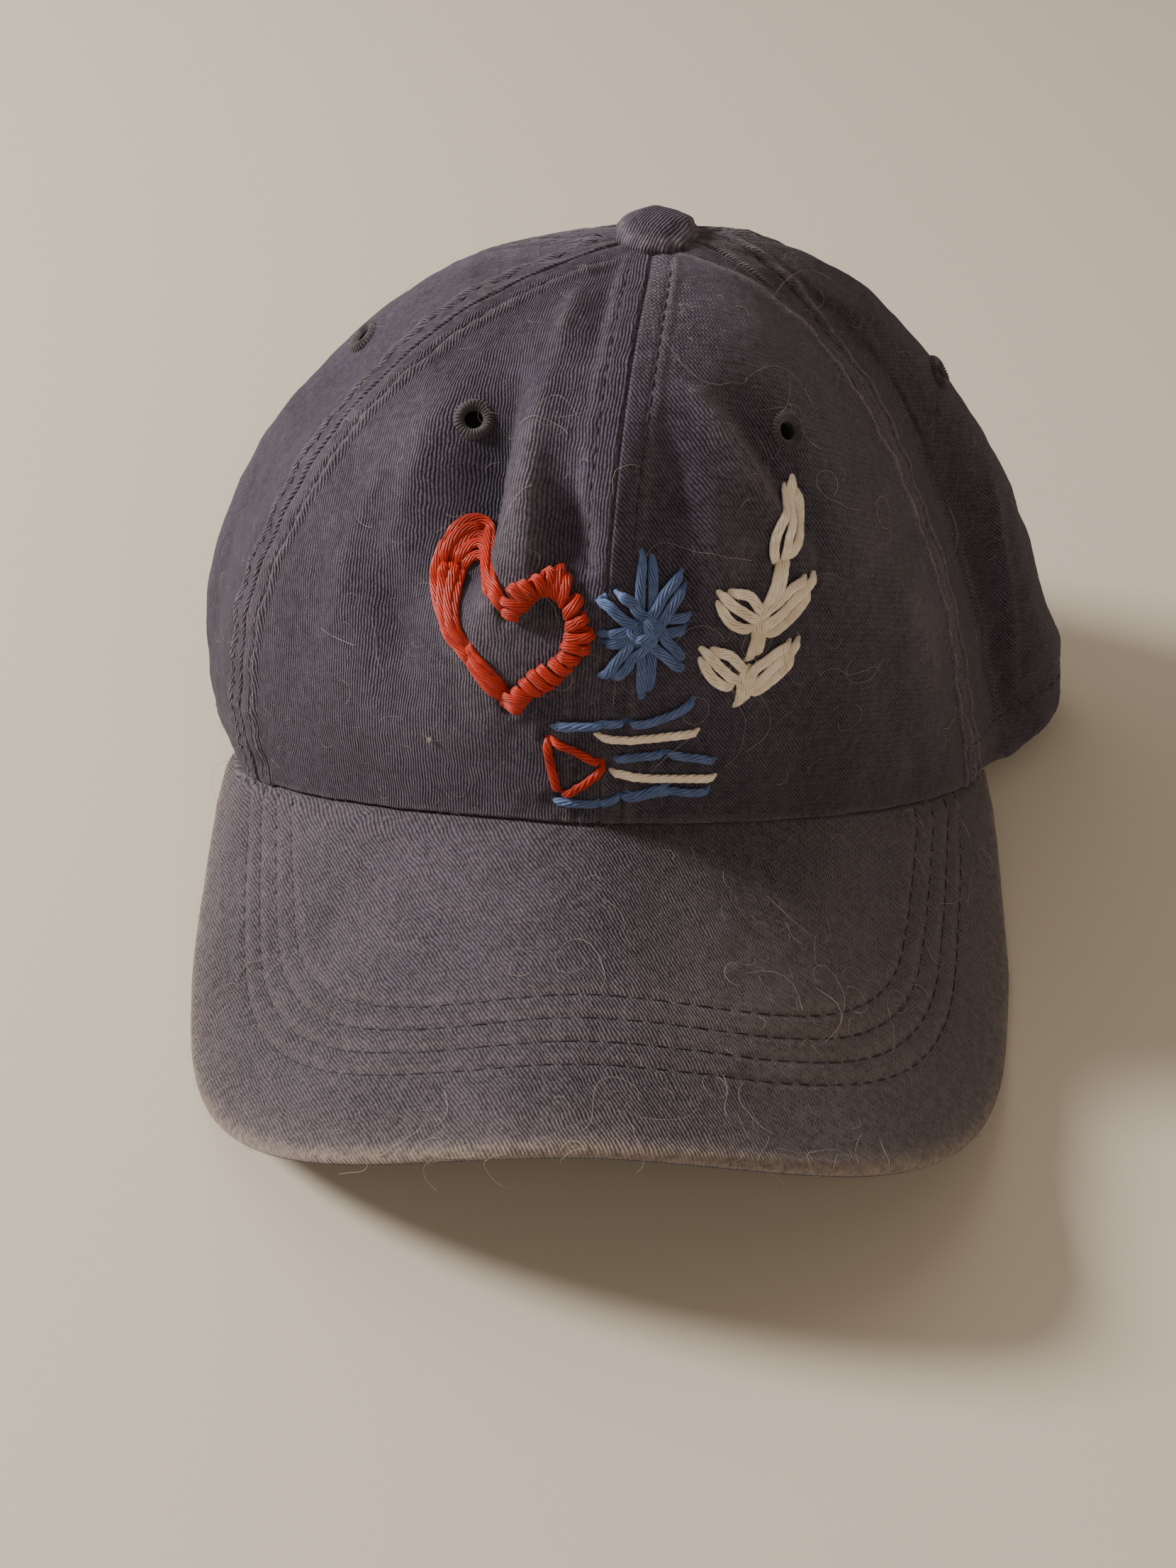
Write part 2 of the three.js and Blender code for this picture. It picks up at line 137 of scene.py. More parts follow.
# Relief of seams and hems: heights, and how far each form reaches
SEAM_GROOVE_DEPTH = 0.50
SEAM_GROOVE_REACH = 0.32
SEAM_WELT_HEIGHT = 0.50
SEAM_WELT_RISE = 0.7
SEAM_WELT_FALL = 1.6
SEAM_RIDGE_HEIGHT = 0.20
SEAM_LINE_DEPTH = 0.34
SEAM_PUCKER_HEIGHT = 0.12
SEAM_PULL_HEIGHT = 0.20
SEAM_PULL_LENGTH = 11.3
HEM_HEIGHT = 0.45
HEM_LINE_DEPTH = 0.35
FRONT_HEM_INSET = 2.0
FRONT_HEM_SHARE = 0.3
EDGE_ROUNDING = 0.75
EDGE_ROUNDING_REACH = 0.9
BRIM_ROW_DEPTH = 0.30
BRIM_PUCKER_HEIGHT = 0.07
BRIM_PIPING_HEIGHT = 0.25
BRIM_PIPING_INSET = 1.9

# Wear: how far the dye is rubbed pale, by place; painted shade in deep folds, painted light on the brim
SEAM_RUB = 0.22
WELT_RUB = 0.34
HEM_RUB = 0.24
RIDGE_RUB = 0.14
# Painted shade: the cloth's colour darkens towards the dark dye in deep folds, where shade falls
FOLD_PAINTED_SHADE = 0.38
FOLD_PAINTED_SHADE_START = 1.2
FOLD_PAINTED_SHADE_REACH = 5.0
BRIM_EDGE_RUB = 0.62
BRIM_MARGIN_RUB = 0.16
BRIM_ROW_RUB = 0.10
# Painted light: a paler patch on the right of the brim, near the crown
BRIM_PAINTED_LIGHT = 0.24
BRIM_LIGHT_SPOT = (34.0, -78.0)
BRIM_LIGHT_SPOT_REACH = 24.0

# Embroidery floss, and the dents that it pulls in the cloth inside the embroidered area
EMBROIDERY_HALF_WIDTH = 60
EMBROIDERY_LOW = 55
EMBROIDERY_HIGH = 120
DENT_DEPTH = 0.42
DENT_RIM_HEIGHT = 0.07
DENT_RIM_RADIUS = 2.8
DENT_REACH = 1.2
FRONT_VIEW_DISTANCE = 300
CLOTH_SEARCH = 12
STRAND_HALF_WIDTH = 0.82
STRAND_HALF_HEIGHT = 0.46
PLY_RADIUS = 0.26
PLIES = 9
PLY_TWIST = 16.0
CORD = dict(Plies=5, Ply_Radius=0.36 * MM, Half_Width=0.60 * MM, Half_Height=0.40 * MM,
            Twist_Length=9.0 * MM)
STRAND_SEAT = 0.60
STRAND_DIVE = 0.9
STRAND_STEP = 0.8
STRAND_RISE = 1.7
STRAND_WAVE = 0.16

# Lint, loose hairs and one knot of fluff
LINT_RADIUS = 0.022
LINT_LENGTH = 2.6
LINT_TILT = 0.25
BRIM_LINT = dict(density=24000.0, length=2.6)
BRIM_LONG_LINT = dict(density=1500.0, length=9.0)
PANEL_LINT = dict(density=17000.0, length=2.4)
PANEL_LONG_LINT = dict(density=1100.0, length=9.0)
FLOSS_FUZZ = dict(Density=26000.0, Hair_Length=1.5 * MM)
HAIR_RADIUS = 0.040
HAIR_STEP = 0.45
HAIR_SEAT = 0.10
HAIR_LIFT = 0.45
HAIR_TURN = 0.10
HAIR_ROLL = 0.27
HAIR_DROOP = 0.12
HAIR_SEARCH = 8.0
FLUFF_PLACE = (-41.4, 69.9)

# grain is where a panel's ribs are straight: 0 its first seam, 1 its last; welts and rubs are how high its
# first and last seam stand and how pale they are: worn, and on the right side seam also a painted highlight
PANELS = [
    # the 2.00 on the seam between the right front and right side panels is wear plus a painted highlight
    dict(name="front_panel_right", start=0, end=70, twill=-42, grain=0.0,
         welts=(0.30, 1.15), rubs_and_highlights=(0.30, 2.00)),
    dict(name="side_panel_right", start=70, end=126, twill=-24, grain=0.5,
         welts=(1.15, 1.0), rubs_and_highlights=(2.00, 1.0)),
    dict(name="back_panel_right", start=126, end=180, twill=20, grain=0.5,
         welts=(1.0, 0.9), rubs_and_highlights=(1.0, 0.9)),
    dict(name="back_panel_left", start=180, end=236, twill=-28, grain=0.5,
         welts=(0.9, 1.0), rubs_and_highlights=(0.9, 1.0)),
    dict(name="side_panel_left", start=236, end=300, twill=14, grain=0.5,
         welts=(1.0, 1.2), rubs_and_highlights=(1.0, 0.95)),
    dict(name="front_panel_left", start=300, end=360, twill=1, grain=1.0,
         welts=(1.2, 0.30), rubs_and_highlights=(0.95, 0.30)),
]
PROFILES = dict(
    front=dict(plan=0.60, rise=0.86, swell=0.0),
    right=dict(plan=0.82, rise=1.70, swell=0.01),
    rear=dict(plan=1.36, rise=1.03, swell=0.04),
    left=dict(plan=0.88, rise=0.99, swell=0.07),
)
RIM_SWELLS = [
    dict(azimuth=109, spread=16, push=0.25),
    dict(azimuth=78, spread=16, push=-0.05),
    dict(azimuth=-80, spread=16, push=-0.035),
]
FOLDS = [
    dict(azimuth=-33, level=0.36, across=5.5, along=0.17, push=-1.9),
    dict(azimuth=-20, level=0.36, across=5.0, along=0.16, push=1.2),
    dict(azimuth=-10, level=0.44, across=4.0, along=0.08, push=-1.6),
    dict(azimuth=10, level=0.50, across=5.0, along=0.15, push=-1.7),
    dict(azimuth=20, level=0.46, across=5.0, along=0.13, push=1.1),
    dict(azimuth=-48, level=0.20, across=5.0, along=0.16, push=-1.0),
    dict(azimuth=91, level=0.30, across=6.5, along=0.25, push=-3.0),
    dict(azimuth=166, level=0.52, across=9, along=0.18, push=-2.0),
    dict(azimuth=-132, level=0.46, across=10, along=0.20, push=-2.2),
    dict(azimuth=-76, level=0.42, across=8, along=0.16, push=-1.2),
]
# Soft creases run from one point of the crown, (azimuth, level), to another; left and right are how far
# a crease reaches to either side, and a short reach is a sharp edge
CREASES = [
    dict(start=(-29.0, 0.68), end=(-23.0, 0.40), left=9.2, right=3.2, push=-9.6),
    dict(start=(-41, 0.68), end=(-36, 0.42), left=6.0, right=5.0, push=1.9),
    dict(start=(-21.5, 0.72), end=(-14, 0.39), left=4.2, right=3.0, push=2.4),
    dict(start=(-11, 0.59), end=(-5.0, 0.42), left=5.2, right=2.6, push=-3.4),
    dict(start=(-38, 0.38), end=(-30, 0.20), left=5.0, right=4.0, push=-1.4),
    dict(start=(-46, 0.56), end=(-43, 0.30), left=6.0, right=3.5, push=1.0),
    dict(start=(19, 0.72), end=(30, 0.50), left=4.4, right=2.2, push=2.6),
    dict(start=(26, 0.68), end=(36, 0.46), left=2.0, right=6.5, push=-2.0),
    dict(start=(13, 0.64), end=(15, 0.48), left=3.0, right=3.0, push=-1.6),
    dict(start=(52, 0.41), end=(58, 0.27), left=5.0, right=5.0, push=1.1),
    dict(start=(44, 0.30), end=(50, 0.12), left=6.0, right=6.0, push=-1.0),
    dict(start=(-30, 0.95), end=(-14, 0.81), left=2.6, right=2.6, push=-1.6),
    dict(start=(-41, 0.92), end=(-23, 0.79), left=2.4, right=1.8, push=1.3),
    dict(start=(-38, 0.91), end=(-35, 0.89), left=2.6, right=2.6, push=-1.0),
    dict(start=(60, 0.92), end=(76, 0.71), left=3.0, right=4.5, push=-1.6),
    dict(start=(90, 0.93), end=(94, 0.76), left=2.4, right=2.4, push=0.9),
    dict(start=(-10, 0.385), end=(-2, 0.415), left=0.9, right=0.9, push=0.7),
    dict(start=(100, 0.48), end=(94, 0.18), left=1.5, right=1.2, push=1.1),
    dict(start=(118, 0.66), end=(128, 0.38), left=4.0, right=8.0, push=-1.7),
    dict(start=(98, 0.28), end=(112, 0.12), left=6.0, right=4.0, push=1.2),
    dict(start=(150, 0.44), end=(160, 0.24), left=6.0, right=6.0, push=-1.3),
    dict(start=(-150, 0.58), end=(-140, 0.30), left=8.0, right=4.0, push=-1.8),
    dict(start=(-118, 0.34), end=(-104, 0.14), left=5.0, right=5.0, push=1.2),
    dict(start=(-92, 0.46), end=(-84, 0.22), left=4.0, right=7.0, push=-1.4),
    dict(start=(-172, 0.80), end=(-158, 0.62), left=5.0, right=5.0, push=-1.2),
]
EYELETS = [
    dict(name="eyelet_front_left", azimuth=-35, level=0.645),
    dict(name="eyelet_front_right", azimuth=36.5, level=0.645),
    dict(name="eyelet_side_left", azimuth=-93, level=0.62),
    dict(name="eyelet_side_right", azimuth=104, level=0.62),
    dict(name="eyelet_back_left", azimuth=-150, level=0.66),
    dict(name="eyelet_back_right", azimuth=150, level=0.66),
]

button_low, button_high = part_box("top_button")
ORIGIN = np.array([
    (button_low.x + button_high.x) / 2 / MM - APEX_RIGHT,
    (button_low.y + button_high.y) / 2 / MM - APEX_BACK,
    0.0,
])


# The crown's surface

def bell(distance, spread):
    return np.exp(-((distance / spread) ** 2))


def smooth(share):
    s = np.clip(share, 0, 1)
    return s * s * (3 - 2 * s)


def turn_between(azimuth, other):
    return (azimuth - other + 180) % 360 - 180


def signed_power(value, power):
    return np.sign(value) * np.abs(value) ** power


def unit(vectors):
    return vectors / np.maximum(np.linalg.norm(vectors, axis=-1, keepdims=True), 1e-9)


def profile_at(azimuth, key):
    c = np.cos(azimuth * DEGREE)
    s = np.sin(azimuth * DEGREE)
    lengthwise = np.where(c > 0, PROFILES["front"][key], PROFILES["rear"][key])
    sideways = np.where(s > 0, PROFILES["right"][key], PROFILES["left"][key])
    return lengthwise * c * c + sideways * s * s


def rim_height(azimuth):
    c = np.cos(azimuth * DEGREE)
    turned = np.abs(turn_between(azimuth, 0))
    front = RIM_SIDE_HEIGHT + (RIM_FRONT_HEIGHT - RIM_SIDE_HEIGHT) * np.maximum(c, 0) ** RIM_ARCH_POWER
    rear = RIM_SIDE_HEIGHT * smooth((RIM_REST_AZIMUTH - turned) / (RIM_REST_AZIMUTH - 90))
    return np.where(c > 0, front, rear)


def rim_point(azimuth):
    azimuth = np.asarray(azimuth, float)
    c = np.cos(azimuth * DEGREE)
    s = np.sin(azimuth * DEGREE)
    push = np.ones_like(azimuth)
    for swell in RIM_SWELLS:
        push = push + swell["push"] * bell(turn_between(azimuth, swell["azimuth"]), swell["spread"])
    half_width = np.where(s > 0, RIM_HALF_WIDTH_RIGHT, RIM_HALF_WIDTH_LEFT)
    depth = np.where(c > 0, RIM_FRONT_DEPTH, RIM_REAR_DEPTH)
    roundness = np.where(c > 0, RIM_FRONT_ROUNDNESS, RIM_REAR_ROUNDNESS)
    return np.stack([
        push * half_width * signed_power(s, roundness),
        -push * depth * signed_power(c, roundness),
        rim_height(azimuth),
    ], axis=-1)


def crown_base(azimuth, level):
    angle = level * math.pi / 2
    rim = rim_point(azimuth)
    spread = np.cos(angle) ** profile_at(azimuth, "plan")
    rise = np.sin(angle) ** profile_at(azimuth, "rise")
    crest = np.sin(math.pi * np.clip(level, 0, 1) ** SWELL_CREST) ** 2
    spread = spread * (1 + profile_at(azimuth, "swell") * crest)
    return np.stack([
        APEX_RIGHT + (rim[..., 0] - APEX_RIGHT) * spread,
        APEX_BACK + (rim[..., 1] - APEX_BACK) * spread,
        rim[..., 2] + (CROWN_HEIGHT - rim[..., 2]) * rise,
    ], axis=-1)


def fold_push(azimuth, level):
    push = np.zeros_like(azimuth)
    for fold in FOLDS:
        across = bell(turn_between(azimuth, fold["azimuth"]), fold["across"])
        push = push + fold["push"] * across * bell(level - fold["level"], fold["along"])
    return push * CLOTH_WALL * smooth(level / 0.08) * smooth((1 - level) / 0.1)


def crown_normal(azimuth, level):
    low = np.maximum(level - 0.01, 0.002)
    high = np.minimum(level + 0.01, 0.985)
    middle = np.clip(level, 0.012, 0.975)
    up = crown_base(azimuth, high) - crown_base(azimuth, low)
    around = crown_base(azimuth + 0.5, middle) - crown_base(azimuth - 0.5, middle)
    normal = unit(np.cross(around, up))
    normal[..., 2] *= smooth(level / 0.12)
    return unit(normal)


def level_at_radius(azimuth, radius):
    rim = rim_point(azimuth)
    reach = np.hypot(rim[..., 0] - APEX_RIGHT, rim[..., 1] - APEX_BACK)
    return np.arccos((radius / reach) ** (1 / profile_at(azimuth, "plan"))) / (math.pi / 2)


def level_at_height(azimuth, height):
    rim = rim_height(azimuth)
    share = np.maximum((height - rim) / (CROWN_HEIGHT - rim), 0)
    return np.arcsin(np.minimum(share, 1) ** (1 / profile_at(azimuth, "rise"))) / (math.pi / 2)


def lowest_level(azimuth):
    across = np.clip(np.abs(turn_between(azimuth, 180)) / ARCH_HALF_ANGLE, 0, 1)
    return np.where(across >= 1, 0, level_at_height(azimuth, ARCH_HEIGHT * np.sqrt(1 - across * across)))


# Relief of the cloth

def soft_waves(points, shortest, longest, count, seed):
    """Sum of plane waves with seeded directions: the same at a point whichever panel it is on."""
    rng = np.random.default_rng(seed)
    total = np.zeros(points.shape[:-1])
    for _ in range(count):
        direction = unit(rng.normal(size=3))
        wavelength = rng.uniform(shortest, longest)
        phase = rng.uniform(0, 2 * math.pi)
        total += np.sin(points @ direction * (2 * math.pi / wavelength) + phase)
    return total / math.sqrt(count)


def crease_relief(points, normal):
    """Height of the soft creases, by each point's distance along the cloth from the crease's line."""
    relief = np.zeros(points.shape[:-1])
    rightwards = unit(np.cross(np.array([0, 0, 1.0]), normal))
    for crease in CREASES:
        start, end = (crown_base(*(np.array(float(v)) for v in crease[key])) for key in ("start", "end"))
        run = end - start
        share = np.clip(((points - start) @ run) / (run @ run), 0, 1)
        gap = points - start - share[..., None] * run
        gap = gap - (gap * normal).sum(-1, keepdims=True) * normal
        lean = (gap * rightwards).sum(-1) / np.maximum(np.linalg.norm(gap, axis=-1), 1e-6)
        reach = crease["left"] + (crease["right"] - crease["left"]) * smooth((lean + 1) / 2)
        distance = np.linalg.norm(gap, axis=-1) / reach
        relief += crease["push"] * np.exp(-distance ** 1.7) * (0.55 + 0.45 * np.sin(math.pi * share))
    return relief


def seam_relief(distance, run, strength):
    """Height of a seam: a fine groove, a welt beside it, and a stitched line that puckers the welt."""
    past_welt = distance - SEAM_WELT_WIDTH
    from_line = distance - SEAM_STITCH_INSET
    stitch_turn = run * 2 * math.pi / STITCH_PITCH
    pull_turn = run * 2 * math.pi / SEAM_PULL_LENGTH + 1.3 * np.sin(run / 17)
    groove = -SEAM_GROOVE_DEPTH * bell(distance, SEAM_GROOVE_REACH)
    rise = smooth((distance - 0.1) / SEAM_WELT_RISE)
    welt = SEAM_WELT_HEIGHT * rise * (1 - smooth(past_welt / SEAM_WELT_FALL))
    ridge = SEAM_RIDGE_HEIGHT * bell(past_welt + 0.3, 0.7)
    line = -SEAM_LINE_DEPTH * bell(from_line, 0.55)
    pucker = SEAM_PUCKER_HEIGHT * np.sin(stitch_turn) * bell(from_line, 1.6)
    pull = SEAM_PULL_HEIGHT * np.sin(pull_turn) * bell(distance - 4.5, 4.0)
    return groove + (welt + ridge + pull) * strength + (line + pucker) * (0.4 + 0.6 * strength)


def running_lengths(points, axis):
    steps = np.linalg.norm(np.diff(points, axis=axis), axis=-1)
    start = np.zeros_like(np.take(steps, [0], axis=axis))
    return np.concatenate([start, np.cumsum(steps, axis=axis)], axis=axis)


def clustered(count, pull):
    """Shares from 0 to 1 that close up at both ends."""
    even = np.linspace(0, 1, count)
    return even - pull * np.sin(2 * math.pi * even) / (2 * math.pi)


# Meshes

def mesh_object(name, vertices, faces, material, uv=None, attributes=None):
    mesh = bpy.data.meshes.new(name)
    mesh.from_pydata((np.asarray(vertices) * MM).tolist(), [], faces)
    mesh.materials.append(material)
    mesh.shade_smooth()
    loops = np.empty(len(mesh.loops), np.int64)
    mesh.loops.foreach_get("vertex_index", loops)
    if uv is not None:
        layer = mesh.uv_layers.new(name="cloth")
        layer.data.foreach_set("uv", np.asarray(uv, np.float32)[loops].ravel())
    for label, values in (attributes or {}).items():
        layer = mesh.attributes.new(label, "FLOAT", "POINT")
        layer.data.foreach_set("value", np.asarray(values, np.float32).ravel())
    mesh.validate()
    obj = bpy.data.objects.new(name, mesh)
    bpy.context.scene.collection.objects.link(obj)
    return obj


def shell_faces(rows, columns):
    """Quads of a closed wall: an outer grid, an inner grid and the four edges between them."""
    grid = np.arange(rows * columns).reshape(rows, columns)
    inner = grid + rows * columns
    faces = []

    def strip(a, b, c, d):
        faces.extend(np.stack([a.ravel(), b.ravel(), c.ravel(), d.ravel()], axis=1).tolist())

    strip(grid[:-1, :-1], grid[:-1, 1:], grid[1:, 1:], grid[1:, :-1])
    strip(inner[:-1, :-1], inner[1:, :-1], inner[1:, 1:], inner[:-1, 1:])
    strip(inner[:-1, 0], grid[:-1, 0], grid[1:, 0], inner[1:, 0])
    strip(grid[:-1, -1], inner[:-1, -1], inner[1:, -1], grid[1:, -1])
    strip(inner[0, :-1], inner[0, 1:], grid[0, 1:], grid[0, :-1])
    strip(grid[-1, :-1], grid[-1, 1:], inner[-1, 1:], inner[-1, :-1])
    return faces


def shell_object(name, outer, inner, material, uv, wear_and_painted_light):
    rows, columns = outer.shape[:2]
    vertices = np.concatenate([outer.reshape(-1, 3), inner.reshape(-1, 3)]) + ORIGIN
    both_uv = np.concatenate([uv.reshape(-1, 2)] * 2)
    both_wear_and_painted_light = np.concatenate([wear_and_painted_light.ravel(), wear_and_painted_light.ravel() * 0])
    return mesh_object(name, vertices, shell_faces(rows, columns), material, both_uv, dict(wear_and_painted_light=both_wear_and_painted_light))


# Node building

def feed(tree, node, inputs):
    """Links or sets a node's inputs. A key is an input's name, or i and its number."""
    for key, value in inputs.items():
        by_number = key[0] == "i" and key[1:].isdigit()
        socket = node.inputs[int(key[1:]) if by_number else key.replace("_", " ")]
        if isinstance(value, bpy.types.NodeSocket):
            tree.links.new(value, socket)
        else:
            socket.default_value = value


def add_node(tree, kind, settings=None, **inputs):
    node = tree.nodes.new(kind)
    for key, value in (settings or {}).items():
        setattr(node, key, value)
    feed(tree, node, inputs)
    return node


def math_node(tree, operation, a, b=0.0, c=0.0):
    return add_node(tree, "ShaderNodeMath", dict(operation=operation), i0=a, i1=b, i2=c).outputs[0]


def scale_vector(tree, vector, factor):
    return add_node(tree, "ShaderNodeVectorMath", dict(operation="SCALE"), i0=vector, Scale=factor).outputs[0]


def add_vectors(tree, a, b):
    return add_node(tree, "ShaderNodeVectorMath", dict(operation="ADD"), i0=a, i1=b).outputs[0]


def mix_colors(tree, factor, a, b):
    return add_node(tree, "ShaderNodeMix", dict(data_type="RGBA"), i0=factor, i6=a, i7=b).outputs[2]


def value_range(tree, value, low, high, to_low=0.0, to_high=1.0):
    limits = dict(i1=low, i2=high, i3=to_low, i4=to_high)
    return add_node(tree, "ShaderNodeMapRange", None, i0=value, **limits).outputs[0]


def new_group(name, inputs, outputs):
    group = bpy.data.node_groups.new(name, "ShaderNodeTree")
    for label, kind, value in inputs:
        socket = group.interface.new_socket(label, in_out="INPUT", socket_type=kind)
        if value is not None:
            socket.default_value = value
    for label, kind in outputs:
        group.interface.new_socket(label, in_out="OUTPUT", socket_type=kind)
    return group, group.nodes.new("NodeGroupInput").outputs, group.nodes.new("NodeGroupOutput").inputs


def make_twill_group():
    """Diagonal ribs of a twill, each broken into short floats, from a UV in millimetres."""
    group, given, result = new_group("twill_weave", [
        ("UV", "NodeSocketVector", None),
        ("Angle", "NodeSocketFloat", 0.0),
        ("Rib Pitch", "NodeSocketFloat", 0.66),
        ("Float Length", "NodeSocketFloat", 1.7),
    ], [("Height", "NodeSocketFloat")])
    wander = add_node(group, "ShaderNodeTexNoise", None, Vector=given["UV"], Scale=0.16, Detail=3.0)
    centred = add_node(group, "ShaderNodeVectorMath", dict(operation="SUBTRACT"),
                       i0=wander.outputs["Color"], i1=(0.5, 0.5, 0.5))
    moved = add_vectors(group, given["UV"], scale_vector(group, centred.outputs[0], 1.6))
    turned = add_node(group, "ShaderNodeVectorRotate", dict(rotation_type="Z_AXIS"),
                      Vector=moved, Angle=given["Angle"])
    parts = add_node(group, "ShaderNodeSeparateXYZ", None, i0=turned.outputs[0])
    rib = math_node(group, "DIVIDE", parts.outputs[0], given["Rib Pitch"])
    number = math_node(group, "FLOOR", rib)
    across = math_node(group, "PINGPONG", rib, 0.5)
    ridge = math_node(group, "MULTIPLY", across, 2.0)
    along = math_node(group, "DIVIDE", parts.outputs[1], given["Float Length"])
    stagger = math_node(group, "MULTIPLY_ADD", number, 0.37, along)
    float_wave = math_node(group, "PINGPONG", stagger, 0.5)
    float_round = value_range(group, float_wave, 0.02, 0.20, 0.60, 1.0)
    height = math_node(group, "MULTIPLY", ridge, float_round)
    group.links.new(height, result["Height"])
    return group


def make_fade_group():
    """Mottled fading of a washed garment dye, from object coordinates."""
    group, given, result = new_group("wash_fade", [
        ("Vector", "NodeSocketVector", None),
        ("Patch Scale", "NodeSocketFloat", 38.0),
        ("Fleck Scale", "NodeSocketFloat", 640.0),
    ], [("Fade", "NodeSocketFloat"), ("Flecks", "NodeSocketFloat"), ("Fibres", "NodeSocketFloat")])
    patch = add_node(group, "ShaderNodeTexNoise", None, Vector=given["Vector"], Scale=given["Patch Scale"],
                     Detail=5.0, Roughness=0.62)
    fleck = add_node(group, "ShaderNodeTexNoise", None, Vector=given["Vector"], Scale=given["Fleck Scale"],
                     Detail=4.0, Roughness=0.7)
    stretched = add_node(group, "ShaderNodeTexNoise", None, Vector=given["Vector"], Scale=1500.0,
                         Detail=2.0, Roughness=0.6, Distortion=1.6)
    group.links.new(value_range(group, patch.outputs[0], 0.34, 0.66), result["Fade"])
    group.links.new(value_range(group, fleck.outputs[0], 0.36, 0.70), result["Flecks"])
    group.links.new(value_range(group, stretched.outputs[0], 0.60, 0.74), result["Fibres"])
    return group


def make_filament_group():
    """Fine filaments that run along each ply of floss, with shaded and lighter ones among them."""
    group, given, result = new_group("floss_filaments", [
        ("Vector", "NodeSocketVector", None),
        ("Along", "NodeSocketFloat", 0.0),
        ("Around", "NodeSocketFloat", 0.0),
        ("Color", "NodeSocketColor", None),
        ("Shade", "NodeSocketColor", None),
        ("Glow", "NodeSocketColor", None),
    ], [("Color", "NodeSocketColor"), ("Filaments", "NodeSocketFloat")])
    grain_place = add_node(group, "ShaderNodeCombineXYZ", None,
                           X=math_node(group, "MULTIPLY", given["Along"], 420.0),
                           Y=math_node(group, "MULTIPLY", given["Around"], 1.7))
    shifted = add_node(group, "ShaderNodeVectorMath", dict(operation="MULTIPLY_ADD"),
                       i0=given["Vector"], i1=(0.0, 0.0, 260.0), i2=grain_place.outputs[0])
    filaments = add_node(group, "ShaderNodeTexNoise", None, Vector=shifted.outputs[0], Scale=1.0,
                         Detail=4.0, Roughness=0.7).outputs[0]
    tone = add_node(group, "ShaderNodeTexNoise", None, Vector=given["Vector"], Scale=210.0, Detail=3.0)
    lit = value_range(group, filaments, 0.36, 0.60)
    shaded = value_range(group, tone.outputs[0], 0.50, 0.70, 0.0, 0.55)
    glowing = value_range(group, filaments, 0.60, 0.76, 0.0, 0.60)
    mixed = mix_colors(group, lit, given["Shade"], given["Color"])
    mixed = mix_colors(group, shaded, mixed, given["Shade"])
    mixed = mix_colors(group, glowing, mixed, given["Glow"])
    group.links.new(mixed, result["Color"])
    group.links.new(filaments, result["Filaments"])
    return group


def make_yarn_group():
    """The mottled color of a spun yarn, with paler specks of lint."""
    group, given, result = new_group("spun_yarn", [
        ("Vector", "NodeSocketVector", None),
        ("Color", "NodeSocketColor", None),
        ("Shade", "NodeSocketColor", None),
        ("Pale", "NodeSocketColor", None),
    ], [("Color", "NodeSocketColor"), ("Lint", "NodeSocketFloat")])
    lint = add_node(group, "ShaderNodeTexNoise", None, Vector=given["Vector"], Scale=900.0,
                    Detail=4.0, Roughness=0.65).outputs[0]
    tone = add_node(group, "ShaderNodeTexNoise", None, Vector=given["Vector"], Scale=170.0, Detail=3.0)
    lit = value_range(group, tone.outputs[0], 0.36, 0.64)
    specks = value_range(group, lint, 0.56, 0.74, 0.0, 0.55)
    mixed = mix_colors(group, lit, given["Shade"], given["Color"])
    mixed = mix_colors(group, specks, mixed, given["Pale"])
    group.links.new(mixed, result["Color"])
    group.links.new(lint, result["Lint"])
    return group


twill_group = make_twill_group()
fade_group = make_fade_group()
filament_group = make_filament_group()
yarn_group = make_yarn_group()


def new_material(name):
    material = bpy.data.materials.new(name)
    material.use_nodes = True
    tree = material.node_tree
    shader = tree.nodes["Principled BSDF"]
    return material, tree, shader


def place_group(tree, group, **inputs):
    node = tree.nodes.new("ShaderNodeGroup")
    node.node_tree = group
    feed(tree, node, inputs)
    return node.outputs


